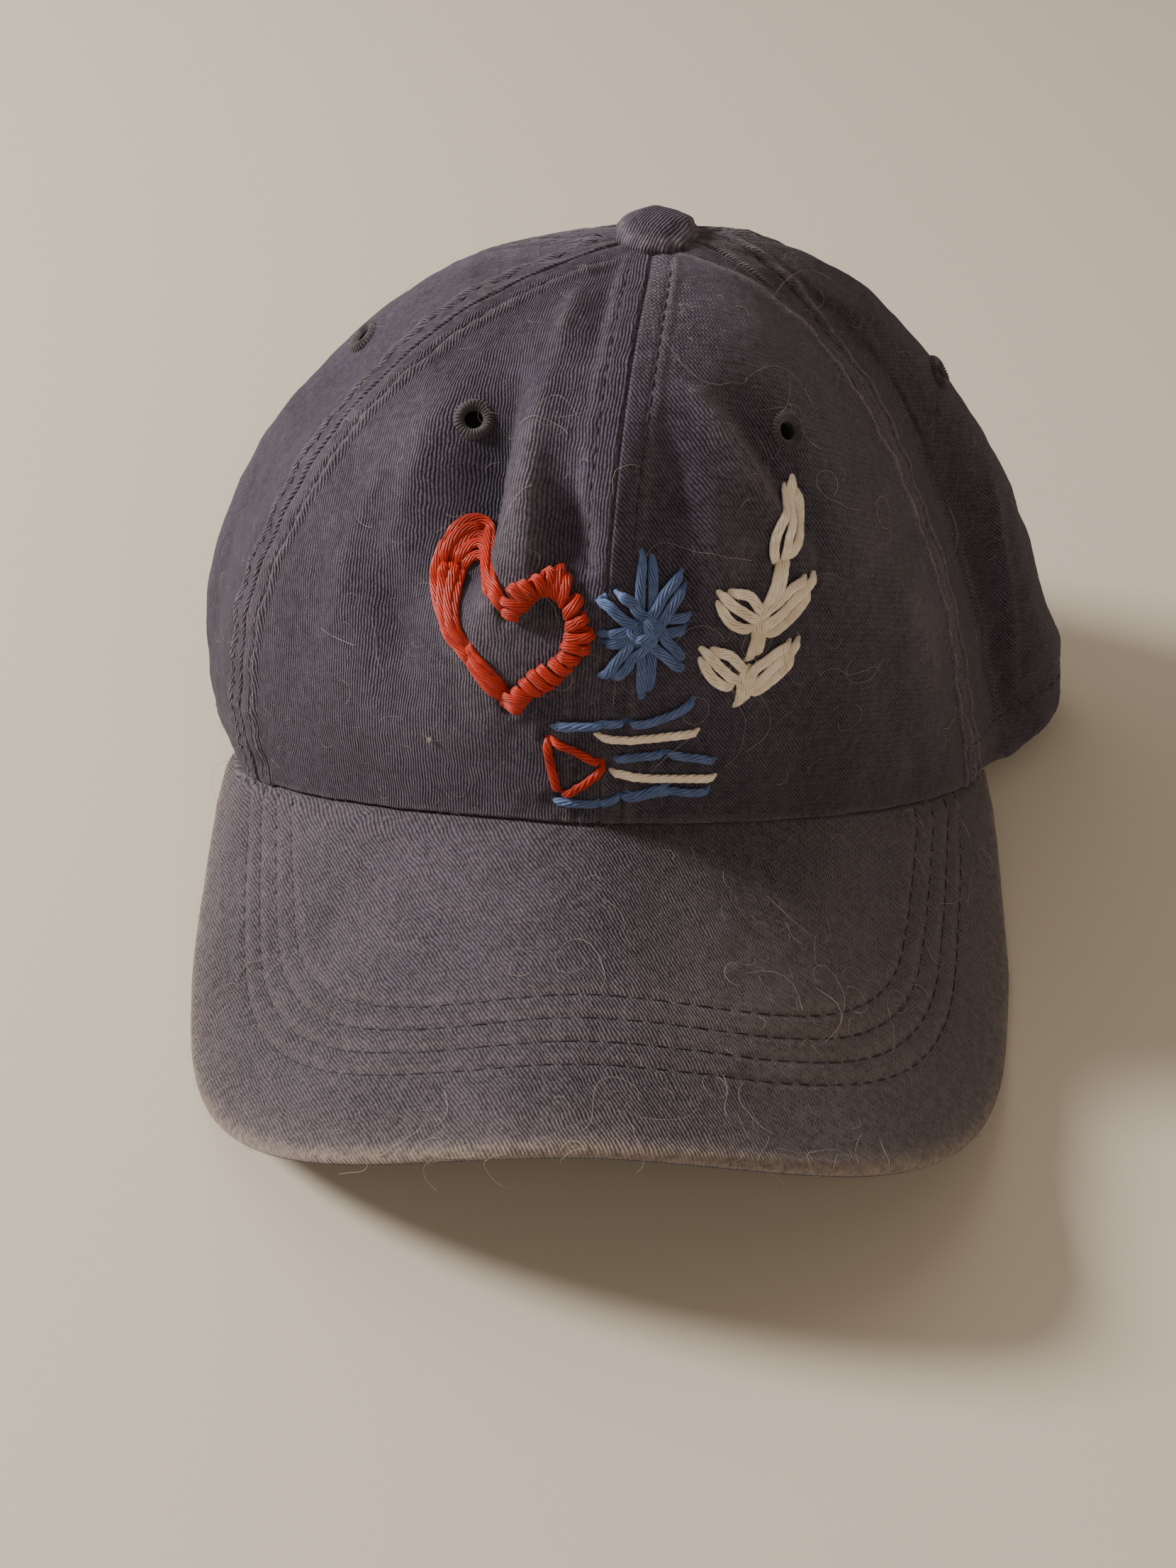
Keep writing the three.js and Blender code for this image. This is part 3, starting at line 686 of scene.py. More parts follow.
def make_cloth(name, twill_degrees, dark, pale, worn):
    """Washed twill: dark dye in the gaps, painted shade in deep folds, pale rib tops, patchy fading, pale
    worn ridges.
    """
    material, tree, shader = new_material(name)
    uv = add_node(tree, "ShaderNodeUVMap", dict(uv_map="cloth")).outputs[0]
    place = add_node(tree, "ShaderNodeTexCoord").outputs["Object"]
    wear_and_painted_light = add_node(tree, "ShaderNodeAttribute", dict(attribute_name="wear_and_painted_light")).outputs["Fac"]
    weave = place_group(tree, twill_group, UV=uv, Angle=twill_degrees * DEGREE)["Height"]
    fade = place_group(tree, fade_group, Vector=place)
    faded = math_node(tree, "MULTIPLY_ADD", fade["Fade"], 0.22, math_node(tree, "MULTIPLY", weave, 0.88))
    faded = math_node(tree, "MULTIPLY_ADD", fade["Flecks"], 0.42, faded)
    faded = math_node(tree, "SUBTRACT", faded, 0.165)
    base = mix_colors(tree, faded, dark, pale)
    # positive values pale the cloth: rubbed wear, with a painted highlight on one seam and painted light on
    # the brim
    rub_and_painted_light = math_node(tree, "MULTIPLY", wear_and_painted_light, value_range(tree, fade["Flecks"], 0.0, 1.0, 0.35, 1.0))
    base = mix_colors(tree, rub_and_painted_light, base, worn)
    # negative values are painted shade of the deep folds, mixed towards the dark dye
    base = mix_colors(tree, math_node(tree, "MULTIPLY", wear_and_painted_light, -1.0), base, dark)
    base = mix_colors(tree, math_node(tree, "MULTIPLY", fade["Fibres"], 0.30), base, worn)
    tree.links.new(base, shader.inputs["Base Color"])
    tree.links.new(value_range(tree, fade["Flecks"], 0.0, 1.0, 0.86, 0.98), shader.inputs["Roughness"])
    relief = math_node(tree, "MULTIPLY_ADD", fade["Flecks"], 0.35, weave)
    bump = add_node(tree, "ShaderNodeBump", None, Strength=0.80, Distance=0.00036, Height=relief)
    tree.links.new(bump.outputs[0], shader.inputs["Normal"])
    shader.inputs["Specular IOR Level"].default_value = 0.18
    shader.inputs["Sheen Weight"].default_value = 0.18
    shader.inputs["Sheen Roughness"].default_value = 0.45
    shader.inputs["Sheen Tint"].default_value = (0.75, 0.74, 0.80, 1)
    return material


def make_floss(name, color, shade, glow):
    """Satin floss: the filaments give it its color, its fine relief and its gloss."""
    material, tree, shader = new_material(name)
    place = add_node(tree, "ShaderNodeTexCoord").outputs["Object"]
    along = add_node(tree, "ShaderNodeAttribute", dict(attribute_name="along")).outputs["Fac"]
    around = add_node(tree, "ShaderNodeAttribute", dict(attribute_name="around")).outputs["Fac"]
    spun = place_group(tree, filament_group, Vector=place, Along=along, Around=around,
                       Color=color, Shade=shade, Glow=glow)
    tree.links.new(spun["Color"], shader.inputs["Base Color"])
    bump = add_node(tree, "ShaderNodeBump", None, Strength=0.6, Distance=0.00010, Height=spun["Filaments"])
    tree.links.new(bump.outputs[0], shader.inputs["Normal"])
    tree.links.new(value_range(tree, spun["Filaments"], 0.3, 0.7, 0.34, 0.56), shader.inputs["Roughness"])
    shader.inputs["Sheen Weight"].default_value = 0.15
    shader.inputs["Sheen Roughness"].default_value = 0.35
    shader.inputs["Specular IOR Level"].default_value = 0.42
    return material


def make_thread(name, color, shade, sheen, gloss):
    """Spun thread: a dull yarn with paler specks of lint."""
    material, tree, shader = new_material(name)
    place = add_node(tree, "ShaderNodeTexCoord").outputs["Object"]
    pale = tuple(min(1.0, c * 1.5 + 0.04) for c in color[:3]) + (1,)
    spun = place_group(tree, yarn_group, Vector=place, Color=color, Shade=shade, Pale=pale)
    tree.links.new(spun["Color"], shader.inputs["Base Color"])
    bump = add_node(tree, "ShaderNodeBump", None, Strength=0.5, Distance=0.00012, Height=spun["Lint"])
    tree.links.new(bump.outputs[0], shader.inputs["Normal"])
    roughness = value_range(tree, spun["Lint"], 0.3, 0.7, gloss, min(gloss + 0.18, 1.0))
    tree.links.new(roughness, shader.inputs["Roughness"])
    shader.inputs["Sheen Weight"].default_value = sheen
    shader.inputs["Sheen Roughness"].default_value = 0.4
    shader.inputs["Specular IOR Level"].default_value = 0.35
    return material


def make_metal():
    material, tree, shader = new_material("buckle_metal")
    place = add_node(tree, "ShaderNodeTexCoord").outputs["Object"]
    stretch = add_node(tree, "ShaderNodeMapping", None, Vector=place, Scale=(120.0, 120.0, 1400.0))
    grain = add_node(tree, "ShaderNodeTexNoise", None, Vector=stretch.outputs[0], Scale=1.0, Detail=4.0)
    tarnish = add_node(tree, "ShaderNodeTexNoise", None, Vector=place, Scale=260.0, Detail=4.0)
    dull = value_range(tree, tarnish.outputs[0], 0.45, 0.68)
    color = mix_colors(tree, dull, (0.44, 0.41, 0.36, 1), (0.20, 0.17, 0.13, 1))
    tree.links.new(color, shader.inputs["Base Color"])
    tree.links.new(value_range(tree, tarnish.outputs[0], 0.35, 0.7, 0.28, 0.55), shader.inputs["Roughness"])
    bump = add_node(tree, "ShaderNodeBump", None, Strength=0.2, Distance=0.0001, Height=grain.outputs[0])
    tree.links.new(bump.outputs[0], shader.inputs["Normal"])
    shader.inputs["Metallic"].default_value = 1.0
    return material


CLOTH = dict(dark=(0.005, 0.0045, 0.010, 1), pale=(0.091, 0.080, 0.124, 1), worn=(0.232, 0.204, 0.246, 1))
BRIM_CLOTH = dict(dark=(0.006, 0.005, 0.009, 1), pale=(0.119, 0.105, 0.142, 1), worn=(0.35, 0.290, 0.245, 1))
FLOSSES = dict(
    red=dict(color=(0.520, 0.022, 0.003, 1), shade=(0.230, 0.007, 0.001, 1), glow=(0.78, 0.08, 0.02, 1)),
    blue=dict(color=(0.112, 0.186, 0.410, 1), shade=(0.034, 0.060, 0.170, 1), glow=(0.29, 0.39, 0.65, 1)),
    cream=dict(color=(0.960, 0.910, 0.820, 1), shade=(0.600, 0.500, 0.370, 1), glow=(1.0, 0.99, 0.96, 1)),
)
panel_cloths = {
    panel["name"]: make_cloth("twill_" + panel["name"], panel["twill"], **CLOTH)
    for panel in PANELS
}
brim_cloth = make_cloth("twill_brim", -30, **BRIM_CLOTH)
small_cloth = make_cloth("twill_small", 30, **CLOTH)
seam_thread = make_thread("seam_thread", (0.032, 0.030, 0.044, 1), (0.010, 0.009, 0.014, 1), 0.2, 0.75)
eyelet_thread = make_thread("eyelet_thread", (0.072, 0.066, 0.084, 1), (0.026, 0.024, 0.033, 1), 0.3, 0.8)
lint_thread = make_thread("lint", (0.32, 0.29, 0.27, 1), (0.19, 0.17, 0.16, 1), 0.3, 0.8)
hair_thread = make_thread("loose_hair", (0.42, 0.38, 0.33, 1), (0.25, 0.22, 0.19, 1), 0.3, 0.8)
flosses = {color: make_floss("floss_" + color, **look) for color, look in FLOSSES.items()}
metal = make_metal()


# Geometry node trees

def geometry_tree(name, inputs):
    tree = bpy.data.node_groups.new(name, "GeometryNodeTree")
    tree.interface.new_socket("Geometry", in_out="INPUT", socket_type="NodeSocketGeometry")
    for label, kind, value in inputs:
        socket = tree.interface.new_socket(label, in_out="INPUT", socket_type=kind)
        if value is not None:
            socket.default_value = value
    tree.interface.new_socket("Geometry", in_out="OUTPUT", socket_type="NodeSocketGeometry")
    return tree, tree.nodes.new("NodeGroupInput").outputs, tree.nodes.new("NodeGroupOutput").inputs


def finish_tree(tree, geometry, material, result):
    real = add_node(tree, "GeometryNodeRealizeInstances", None, i0=geometry)
    shaded = add_node(tree, "GeometryNodeSetShadeSmooth", None, i0=real.outputs[0])
    painted = add_node(tree, "GeometryNodeSetMaterial", None, Geometry=shaded.outputs[0], Material=material)
    tree.links.new(painted.outputs[0], result["Geometry"])


def tube_along(tree, curve, sides, radius):
    section = add_node(tree, "GeometryNodeCurvePrimitiveCircle", None, Resolution=sides, Radius=radius)
    tube = add_node(tree, "GeometryNodeCurveToMesh", None, Curve=curve,
                    Profile_Curve=section.outputs[0], Fill_Caps=True)
    return tube.outputs[0]


def make_stitch_tree():
    """A row of stitches along mesh lines that carry the cloth's direction in 'up'."""
    tree, given, result = geometry_tree("topstitch_row", [
        ("Pitch", "NodeSocketFloat", STITCH_PITCH * MM),
        ("Stitch Length", "NodeSocketFloat", STITCH_LENGTH * MM),
        ("Lift", "NodeSocketFloat", 0.5 * MM),
        ("Thread Radius", "NodeSocketFloat", THREAD_RADIUS * MM),
        ("Turn", "NodeSocketFloat", 0.0),
        ("Material", "NodeSocketMaterial", None),
    ])
    lines = add_node(tree, "GeometryNodeMeshToCurve", None, i0=given["Geometry"])
    points = add_node(tree, "GeometryNodeCurveToPoints", dict(mode="LENGTH"), Curve=lines.outputs[0],
                      Length=given["Pitch"])
    half = math_node(tree, "MULTIPLY", given["Stitch Length"], 0.5)
    start = add_node(tree, "ShaderNodeCombineXYZ", None, X=math_node(tree, "MULTIPLY", half, -1.0),
                     Z=math_node(tree, "MULTIPLY", given["Lift"], -0.5))
    middle = add_node(tree, "ShaderNodeCombineXYZ", None, Z=given["Lift"])
    end = add_node(tree, "ShaderNodeCombineXYZ", None, X=half,
                   Z=math_node(tree, "MULTIPLY", given["Lift"], -0.5))
    arch = add_node(tree, "GeometryNodeCurveQuadraticBezier", None, Resolution=6, Start=start.outputs[0],
                    Middle=middle.outputs[0], End=end.outputs[0])
    stitch = tube_along(tree, arch.outputs[0], 6, given["Thread Radius"])
    up = add_node(tree, "GeometryNodeInputNamedAttribute", dict(data_type="FLOAT_VECTOR"), Name="up")
    along = add_node(tree, "FunctionNodeAlignRotationToVector", dict(axis="X"),
                     Vector=points.outputs["Tangent"])
    upright = add_node(tree, "FunctionNodeAlignRotationToVector", dict(axis="Z", pivot_axis="X"),
                       Rotation=along.outputs[0], Vector=up.outputs[0])
    quarter = add_node(tree, "ShaderNodeCombineXYZ", None, Z=given["Turn"])
    turned = add_node(tree, "FunctionNodeRotateRotation", dict(rotation_space="LOCAL"),
                      i0=upright.outputs[0], i1=quarter.outputs[0])
    placed = add_node(tree, "GeometryNodeInstanceOnPoints", None, Points=points.outputs[0],
                      Instance=stitch, Rotation=turned.outputs[0])
    finish_tree(tree, placed.outputs[0], given["Material"], result)
    return tree


def make_floss_tree():
    """Stranded floss: each mesh line becomes a flat bundle of plies that turn slowly round each other."""
    tree, given, result = geometry_tree("floss_strand", [
        ("Plies", "NodeSocketInt", PLIES),
        ("Ply Radius", "NodeSocketFloat", PLY_RADIUS * MM),
        ("Half Width", "NodeSocketFloat", STRAND_HALF_WIDTH * MM),
        ("Half Height", "NodeSocketFloat", STRAND_HALF_HEIGHT * MM),
        ("Twist Length", "NodeSocketFloat", PLY_TWIST * MM),
        ("Step", "NodeSocketFloat", 0.9 * MM),
        ("Material", "NodeSocketMaterial", None),
    ])
    lines = add_node(tree, "GeometryNodeMeshToCurve", None, i0=given["Geometry"])
    even = add_node(tree, "GeometryNodeResampleCurve", dict(mode="LENGTH"), Curve=lines.outputs[0],
                    Length=given["Step"])
    copies = add_node(tree, "GeometryNodeDuplicateElements", dict(domain="SPLINE"), Geometry=even.outputs[0],
                      Amount=given["Plies"])
    share = math_node(tree, "DIVIDE", copies.outputs["Duplicate Index"], given["Plies"])
    spline = add_node(tree, "GeometryNodeSplineParameter")
    turns = math_node(tree, "DIVIDE", spline.outputs["Length"], given["Twist Length"])
    phase = add_node(tree, "GeometryNodeInputNamedAttribute", dict(data_type="FLOAT"), Name="phase")
    total = math_node(tree, "ADD", math_node(tree, "ADD", share, turns), phase.outputs[0])
    angle = math_node(tree, "MULTIPLY", total, 2 * math.pi)
    up = add_node(tree, "GeometryNodeInputNamedAttribute", dict(data_type="FLOAT_VECTOR"), Name="up")
    tangent = add_node(tree, "GeometryNodeInputTangent")
    side = add_node(tree, "ShaderNodeVectorMath", dict(operation="CROSS_PRODUCT"),
                    i0=tangent.outputs[0], i1=up.outputs[0])
    from_end = math_node(tree, "PINGPONG", spline.outputs["Factor"], 0.5)
    tight = value_range(tree, from_end, 0.0, 0.14, 0.35, 1.0)
    wide = math_node(tree, "MULTIPLY", math_node(tree, "COSINE", angle), given["Half Width"])
    tall = math_node(tree, "MULTIPLY", math_node(tree, "SINE", angle), given["Half Height"])
    sideways = scale_vector(tree, side.outputs[0], math_node(tree, "MULTIPLY", wide, tight))
    upwards = scale_vector(tree, up.outputs[0], math_node(tree, "MULTIPLY", tall, tight))
    moved = add_node(tree, "GeometryNodeSetPosition", None, Geometry=copies.outputs[0],
                     Offset=add_vectors(tree, sideways, upwards))
    section = add_node(tree, "GeometryNodeCurvePrimitiveCircle", None, Resolution=6,
                       Radius=given["Ply Radius"])
    on_points = dict(data_type="FLOAT", domain="POINT")
    measured = add_node(tree, "GeometryNodeStoreNamedAttribute", on_points,
                        Geometry=moved.outputs[0], Name="along", Value=spline.outputs["Length"])
    corner = add_node(tree, "GeometryNodeInputIndex")
    rounded = add_node(tree, "GeometryNodeStoreNamedAttribute", on_points,
                       Geometry=section.outputs[0], Name="around", Value=corner.outputs[0])
    tubes = add_node(tree, "GeometryNodeCurveToMesh", None, Curve=measured.outputs[0],
                     Profile_Curve=rounded.outputs[0], Fill_Caps=True)
    finish_tree(tree, tubes.outputs[0], given["Material"], result)
    return tree


def make_lint_tree():
    """Loose cotton hairs scattered over a surface, each a short bent fibre."""
    tree, given, result = geometry_tree("lint_hairs", [
        ("Density", "NodeSocketFloat", 20000.0),
        ("Seed", "NodeSocketInt", 3),
        ("Hair Length", "NodeSocketFloat", LINT_LENGTH * MM),
        ("Hair Radius", "NodeSocketFloat", LINT_RADIUS * MM),
        ("Material", "NodeSocketMaterial", None),
    ])
    points = add_node(tree, "GeometryNodeDistributePointsOnFaces", None, Mesh=given["Geometry"],
                      Density=given["Density"], Seed=given["Seed"])
    end = add_node(tree, "ShaderNodeCombineXYZ", None, X=given["Hair Length"],
                   Z=math_node(tree, "MULTIPLY", given["Hair Length"], 0.12))
    middle = add_node(tree, "ShaderNodeCombineXYZ", None,
                      X=math_node(tree, "MULTIPLY", given["Hair Length"], 0.45),
                      Y=math_node(tree, "MULTIPLY", given["Hair Length"], 0.5),
                      Z=math_node(tree, "MULTIPLY", given["Hair Length"], 0.35))
    bend = add_node(tree, "GeometryNodeCurveQuadraticBezier", None, Resolution=6, Start=(0, 0, 0),
                    Middle=middle.outputs[0], End=end.outputs[0])
    hair = tube_along(tree, bend.outputs[0], 3, given["Hair Radius"])
    spin = add_node(tree, "FunctionNodeRandomValue", dict(data_type="FLOAT_VECTOR"), Seed=given["Seed"],
                    i0=(-LINT_TILT, -LINT_TILT, -math.pi), i1=(LINT_TILT, LINT_TILT, math.pi))
    turned = add_node(tree, "FunctionNodeRotateRotation", dict(rotation_space="LOCAL"),
                      i0=points.outputs["Rotation"], i1=spin.outputs[0])
    size = add_node(tree, "FunctionNodeRandomValue", dict(data_type="FLOAT"),
                    i2=0.35, i3=1.6, Seed=given["Seed"])
    placed = add_node(tree, "GeometryNodeInstanceOnPoints", None, Points=points.outputs[0],
                      Instance=hair, Rotation=turned.outputs[0], Scale=size.outputs[1])
    finish_tree(tree, placed.outputs[0], given["Material"], result)
    return tree


def make_hair_tree():
    """Long loose hairs: each mesh line becomes a fine tube."""
    tree, given, result = geometry_tree("loose_hair", [
        ("Hair Radius", "NodeSocketFloat", HAIR_RADIUS * MM),
        ("Material", "NodeSocketMaterial", None),
    ])
    lines = add_node(tree, "GeometryNodeMeshToCurve", None, i0=given["Geometry"])
    tubes = tube_along(tree, lines.outputs[0], 3, given["Hair Radius"])
    finish_tree(tree, tubes, given["Material"], result)
    return tree


stitch_tree = make_stitch_tree()
floss_tree = make_floss_tree()
lint_tree = make_lint_tree()
hair_tree = make_hair_tree()


def grow(name, source, tree, **inputs):
    """Runs a tree on an object and keeps the result as a plain mesh."""
    modifier = source.modifiers.new("grow", "NODES")
    modifier.node_group = tree
    for item in tree.interface.items_tree:
        if item.item_type == "SOCKET" and item.in_out == "INPUT":
            key = item.name.replace(" ", "_")
            if key in inputs:
                modifier[item.identifier] = inputs[key]
    bpy.context.view_layer.update()
    evaluated = source.evaluated_get(bpy.context.evaluated_depsgraph_get())
    mesh = bpy.data.meshes.new_from_object(evaluated)
    mesh.name = name
    source.modifiers.remove(modifier)
    piece = bpy.data.objects.new(name, mesh)
    bpy.context.scene.collection.objects.link(piece)
    return piece


def lines_object(name, lines):
    """Mesh of separate lines. Each line is (points in mm, up directions, phase)."""
    vertices, edges, ups, phases = [], [], [], []
    for points, up, phase in lines:
        first = len(vertices)
        vertices.extend(((np.asarray(points)) * MM).tolist())
        edges.extend([(first + i, first + i + 1) for i in range(len(points) - 1)])
        ups.extend(np.asarray(up).tolist())
        phases.extend([phase] * len(points))
    mesh = bpy.data.meshes.new(name)
    mesh.from_pydata(vertices, edges, [])
    layer = mesh.attributes.new("up", "FLOAT_VECTOR", "POINT")
    layer.data.foreach_set("vector", np.asarray(ups, np.float32).ravel())
    layer = mesh.attributes.new("phase", "FLOAT", "POINT")
    layer.data.foreach_set("value", np.asarray(phases, np.float32))
    obj = bpy.data.objects.new(name, mesh)
    bpy.context.scene.collection.objects.link(obj)
    return obj


def grow_on_lines(name, lines, tree, **inputs):
    source = lines_object(name + "_lines", lines)
    piece = grow(name, source, tree, **inputs)
    bpy.data.objects.remove(source)
    return piece


# Embroidery, in millimetres across and up as seen from the front

def straight(start, end, layer=0.0, bow=0.0):
    return dict(start=np.array(start, float), end=np.array(end, float), layer=layer, bow=bow)


STRIPE_BLUE = [
    straight((-18.2, 79.3), (-2.9, 81.6), bow=0.7),
    straight((-17.0, 80.3), (-7.0, 81.6), 0.5, bow=0.4),
    straight((-3.6, 80.9), (9.8, 84.2), 0.3, bow=-1.0),
    straight((-6.2, 72.6), (4.6, 72.9), bow=0.6),
    straight((3.6, 73.3), (14.3, 69.2), 0.2, bow=0.5),
    straight((-18.0, 61.8), (-3.6, 64.6), bow=-0.7),
    straight((-5.2, 64.0), (13.4, 63.2), 0.4, bow=0.8),
    straight((-4.0, 65.0), (5.6, 65.4), bow=-0.3),
]
STRIPE_CREAM = [
    straight((-9.8, 78.9), (11.0, 76.8), bow=-0.6),
    straight((-6.9, 70.7), (14.7, 65.7), bow=-0.5),
]
TRIANGLE_RED = [
    straight((-18.2, 77.2), (-7.6, 71.8), 0.2, bow=0.4),
    straight((-18.4, 77.4), (-16.2, 63.8), bow=-0.3),
    straight((-16.0, 63.6), (-7.4, 72.2), 0.4, bow=-0.4),
]

HEART_CENTRE = (-25.6, 94.6)
HEART_SCALE = 0.92
HEART_LIFT = 2.4
# Ends of the heart's long stitches, in turns round its outline
HEART_TURNS = (0.02, 0.10, 0.20, 0.32, 0.43, 0.505)
HEART_OVERLAP = 0.012
HEART_FOOT_TURN = 0.52
HEART_RANKS = [
    dict(inset=0.0, shift=0.0, layer=0.10),
    dict(inset=0.145, shift=0.018, layer=0.30),
    dict(inset=0.28, shift=0.0072, layer=0.10),
    dict(inset=0.075, shift=0.030, layer=0.75),
    dict(inset=0.215, shift=0.012, layer=0.75),
]
HEART_BAR = (0.535, 0.985)
STAR_CENTRE = (-0.2, 99.0)
STAR_ARMS = [
    dict(angle=90, reach=13.0, layer=0.0),
    dict(angle=2, reach=8.8, layer=0.5),
    dict(angle=47, reach=11.0, layer=1.0),
    dict(angle=134, reach=10.6, layer=1.5),
]
SPRIG_STEM = [(17.0, 79.6), (18.6, 88.0), (21.2, 96.5), (25.4, 104.0)]
SPRIG_LEAVES = [
    dict(foot=(18.2, 83.4), tip=(29.8, 88.4)),
    dict(foot=(17.9, 85.4), tip=(9.8, 94.0)),
    dict(foot=(20.9, 93.2), tip=(32.4, 98.8)),
    dict(foot=(21.0, 95.2), tip=(12.8, 103.6)),
    dict(foot=(24.6, 103.0), tip=(27.4, 114.4)),
]
LEAF_STRANDS = [
    dict(aside=-1.55, short=1.8, bow=-1.60, layer=0.30),
    dict(aside=1.55, short=1.3, bow=1.60, layer=0.35),
    dict(aside=0.0, short=0.0, bow=0.1, layer=0.55),
]


def heart_outline(turn):
    """A point of a plain heart, as turn goes once round from the notch by the left lobe."""
    t = -turn * 2 * math.pi
    x = 16 * np.sin(t) ** 3
    z = 13 * np.cos(t) - 5 * np.cos(2 * t) - 2 * np.cos(3 * t) - np.cos(4 * t)
    return np.array([HEART_CENTRE[0] + HEART_SCALE * x, HEART_CENTRE[1] + HEART_SCALE * (z + HEART_LIFT)])


def heart_stitches():
    """Long overlapping stitches in five ranks round the left lobe."""
    stitches = []
    centre = np.array(HEART_CENTRE)
    for rank in HEART_RANKS:
        turns = np.array(HEART_TURNS) + rank["shift"]
        for first, last in zip(turns[:-1], turns[1:]):
            start = heart_outline(first - HEART_OVERLAP)
            end = heart_outline(min(last + HEART_OVERLAP, HEART_FOOT_TURN))
            middle = heart_outline((first + last) / 2)
            start, end, middle = (point + (centre - point) * rank["inset"] for point in (start, end, middle))
            chord = end - start
            across = np.array([-chord[1], chord[0]]) / np.hypot(*chord)
            bow = (middle - (start + end) / 2) @ across
            stitches.append(straight(start, end, rank["layer"], bow))
    return stitches


def star_stitches():
    stitches = []
    centre = np.array(STAR_CENTRE)
    for arm in STAR_ARMS:
        along = np.array([math.cos(arm["angle"] * DEGREE), math.sin(arm["angle"] * DEGREE)])
        across = np.array([-along[1], along[0]])
        for side in (-1, 1):
            reach = arm["reach"] * (1 + 0.06 * side)
            start = centre - along * reach + across * side * 0.7
            end = centre + along * reach * 0.96 + across * side * 1.0
            stitches.append(straight(start, end, arm["layer"], 0.35 * side))
    for angle in (20, 110):
        along = np.array([math.cos(angle * DEGREE), math.sin(angle * DEGREE)]) * 3.2
        stitches.append(straight(centre - along, centre + along, 2.1))
    return stitches


def sprig_stitches():
    stitches = []
    for first, last in zip(SPRIG_STEM[:-1], SPRIG_STEM[1:]):
        beside_first = (first[0] + 1.5, first[1] + 0.8)
        beside_last = (last[0] + 1.2, last[1] - 0.2)
        stitches.append(straight(first, last, 0.1, -0.3))
        stitches.append(straight(beside_first, beside_last, 0.25, -0.4))
    for leaf in SPRIG_LEAVES:
        run = np.subtract(leaf["tip"], leaf["foot"])
        along = run / np.hypot(*run)
        across = np.array([-along[1], along[0]])
        for strand in LEAF_STRANDS:
            foot = leaf["foot"] + across * strand["aside"] * 0.4
            tip = leaf["tip"] + across * strand["aside"] * 0.6 - along * strand["short"]
            stitches.append(straight(foot, tip, strand["layer"], strand["bow"]))
    return stitches


MOTIFS = dict(red=heart_stitches(), blue=star_stitches(), cream=sprig_stitches())
STRIPES = dict(red=TRIANGLE_RED, blue=STRIPE_BLUE, cream=STRIPE_CREAM)


def embroidery_relief(points):
    """Dents where floss goes down into the cloth, and the slight swell between them."""
    relief = np.zeros(points.shape[:-1])
    flat = points[..., [0, 2]]
    near = np.abs(points[..., 0]) < EMBROIDERY_HALF_WIDTH
    near &= (points[..., 2] > EMBROIDERY_LOW) & (points[..., 2] < EMBROIDERY_HIGH)
    spots = flat[near]
    total = np.zeros(len(spots))
    for stitch in sum(MOTIFS.values(), []) + sum(STRIPES.values(), []):
        for end in (stitch["start"], stitch["end"]):
            distance = np.linalg.norm(spots - end, axis=-1)
            total -= DENT_DEPTH * bell(distance, DENT_REACH)
            total += DENT_RIM_HEIGHT * bell(distance - DENT_RIM_RADIUS, DENT_REACH)
    relief[near] = np.clip(total, -0.9, 0.35)
    return relief


# Crown panels

def panel_azimuths(panel, count):
    if panel["start"] != 180 and panel["end"] != 180:
        return panel["start"] + (panel["end"] - panel["start"]) * clustered(count, 0.55)
    foot = 180 - ARCH_HALF_ANGLE if panel["end"] == 180 else 180 + ARCH_HALF_ANGLE
    outer = panel["start"] if panel["end"] == 180 else panel["end"]
    even = outer + (foot - outer) * np.sin(np.linspace(0, math.pi / 2, count // 3)) ** 0.9
    closing = 1 - np.cos(np.linspace(0, math.pi / 2, count - count // 3 + 1)[1:])
    azimuths = np.concatenate([even, foot + (180 - foot) * closing])
    return azimuths if panel["end"] == 180 else azimuths[::-1]


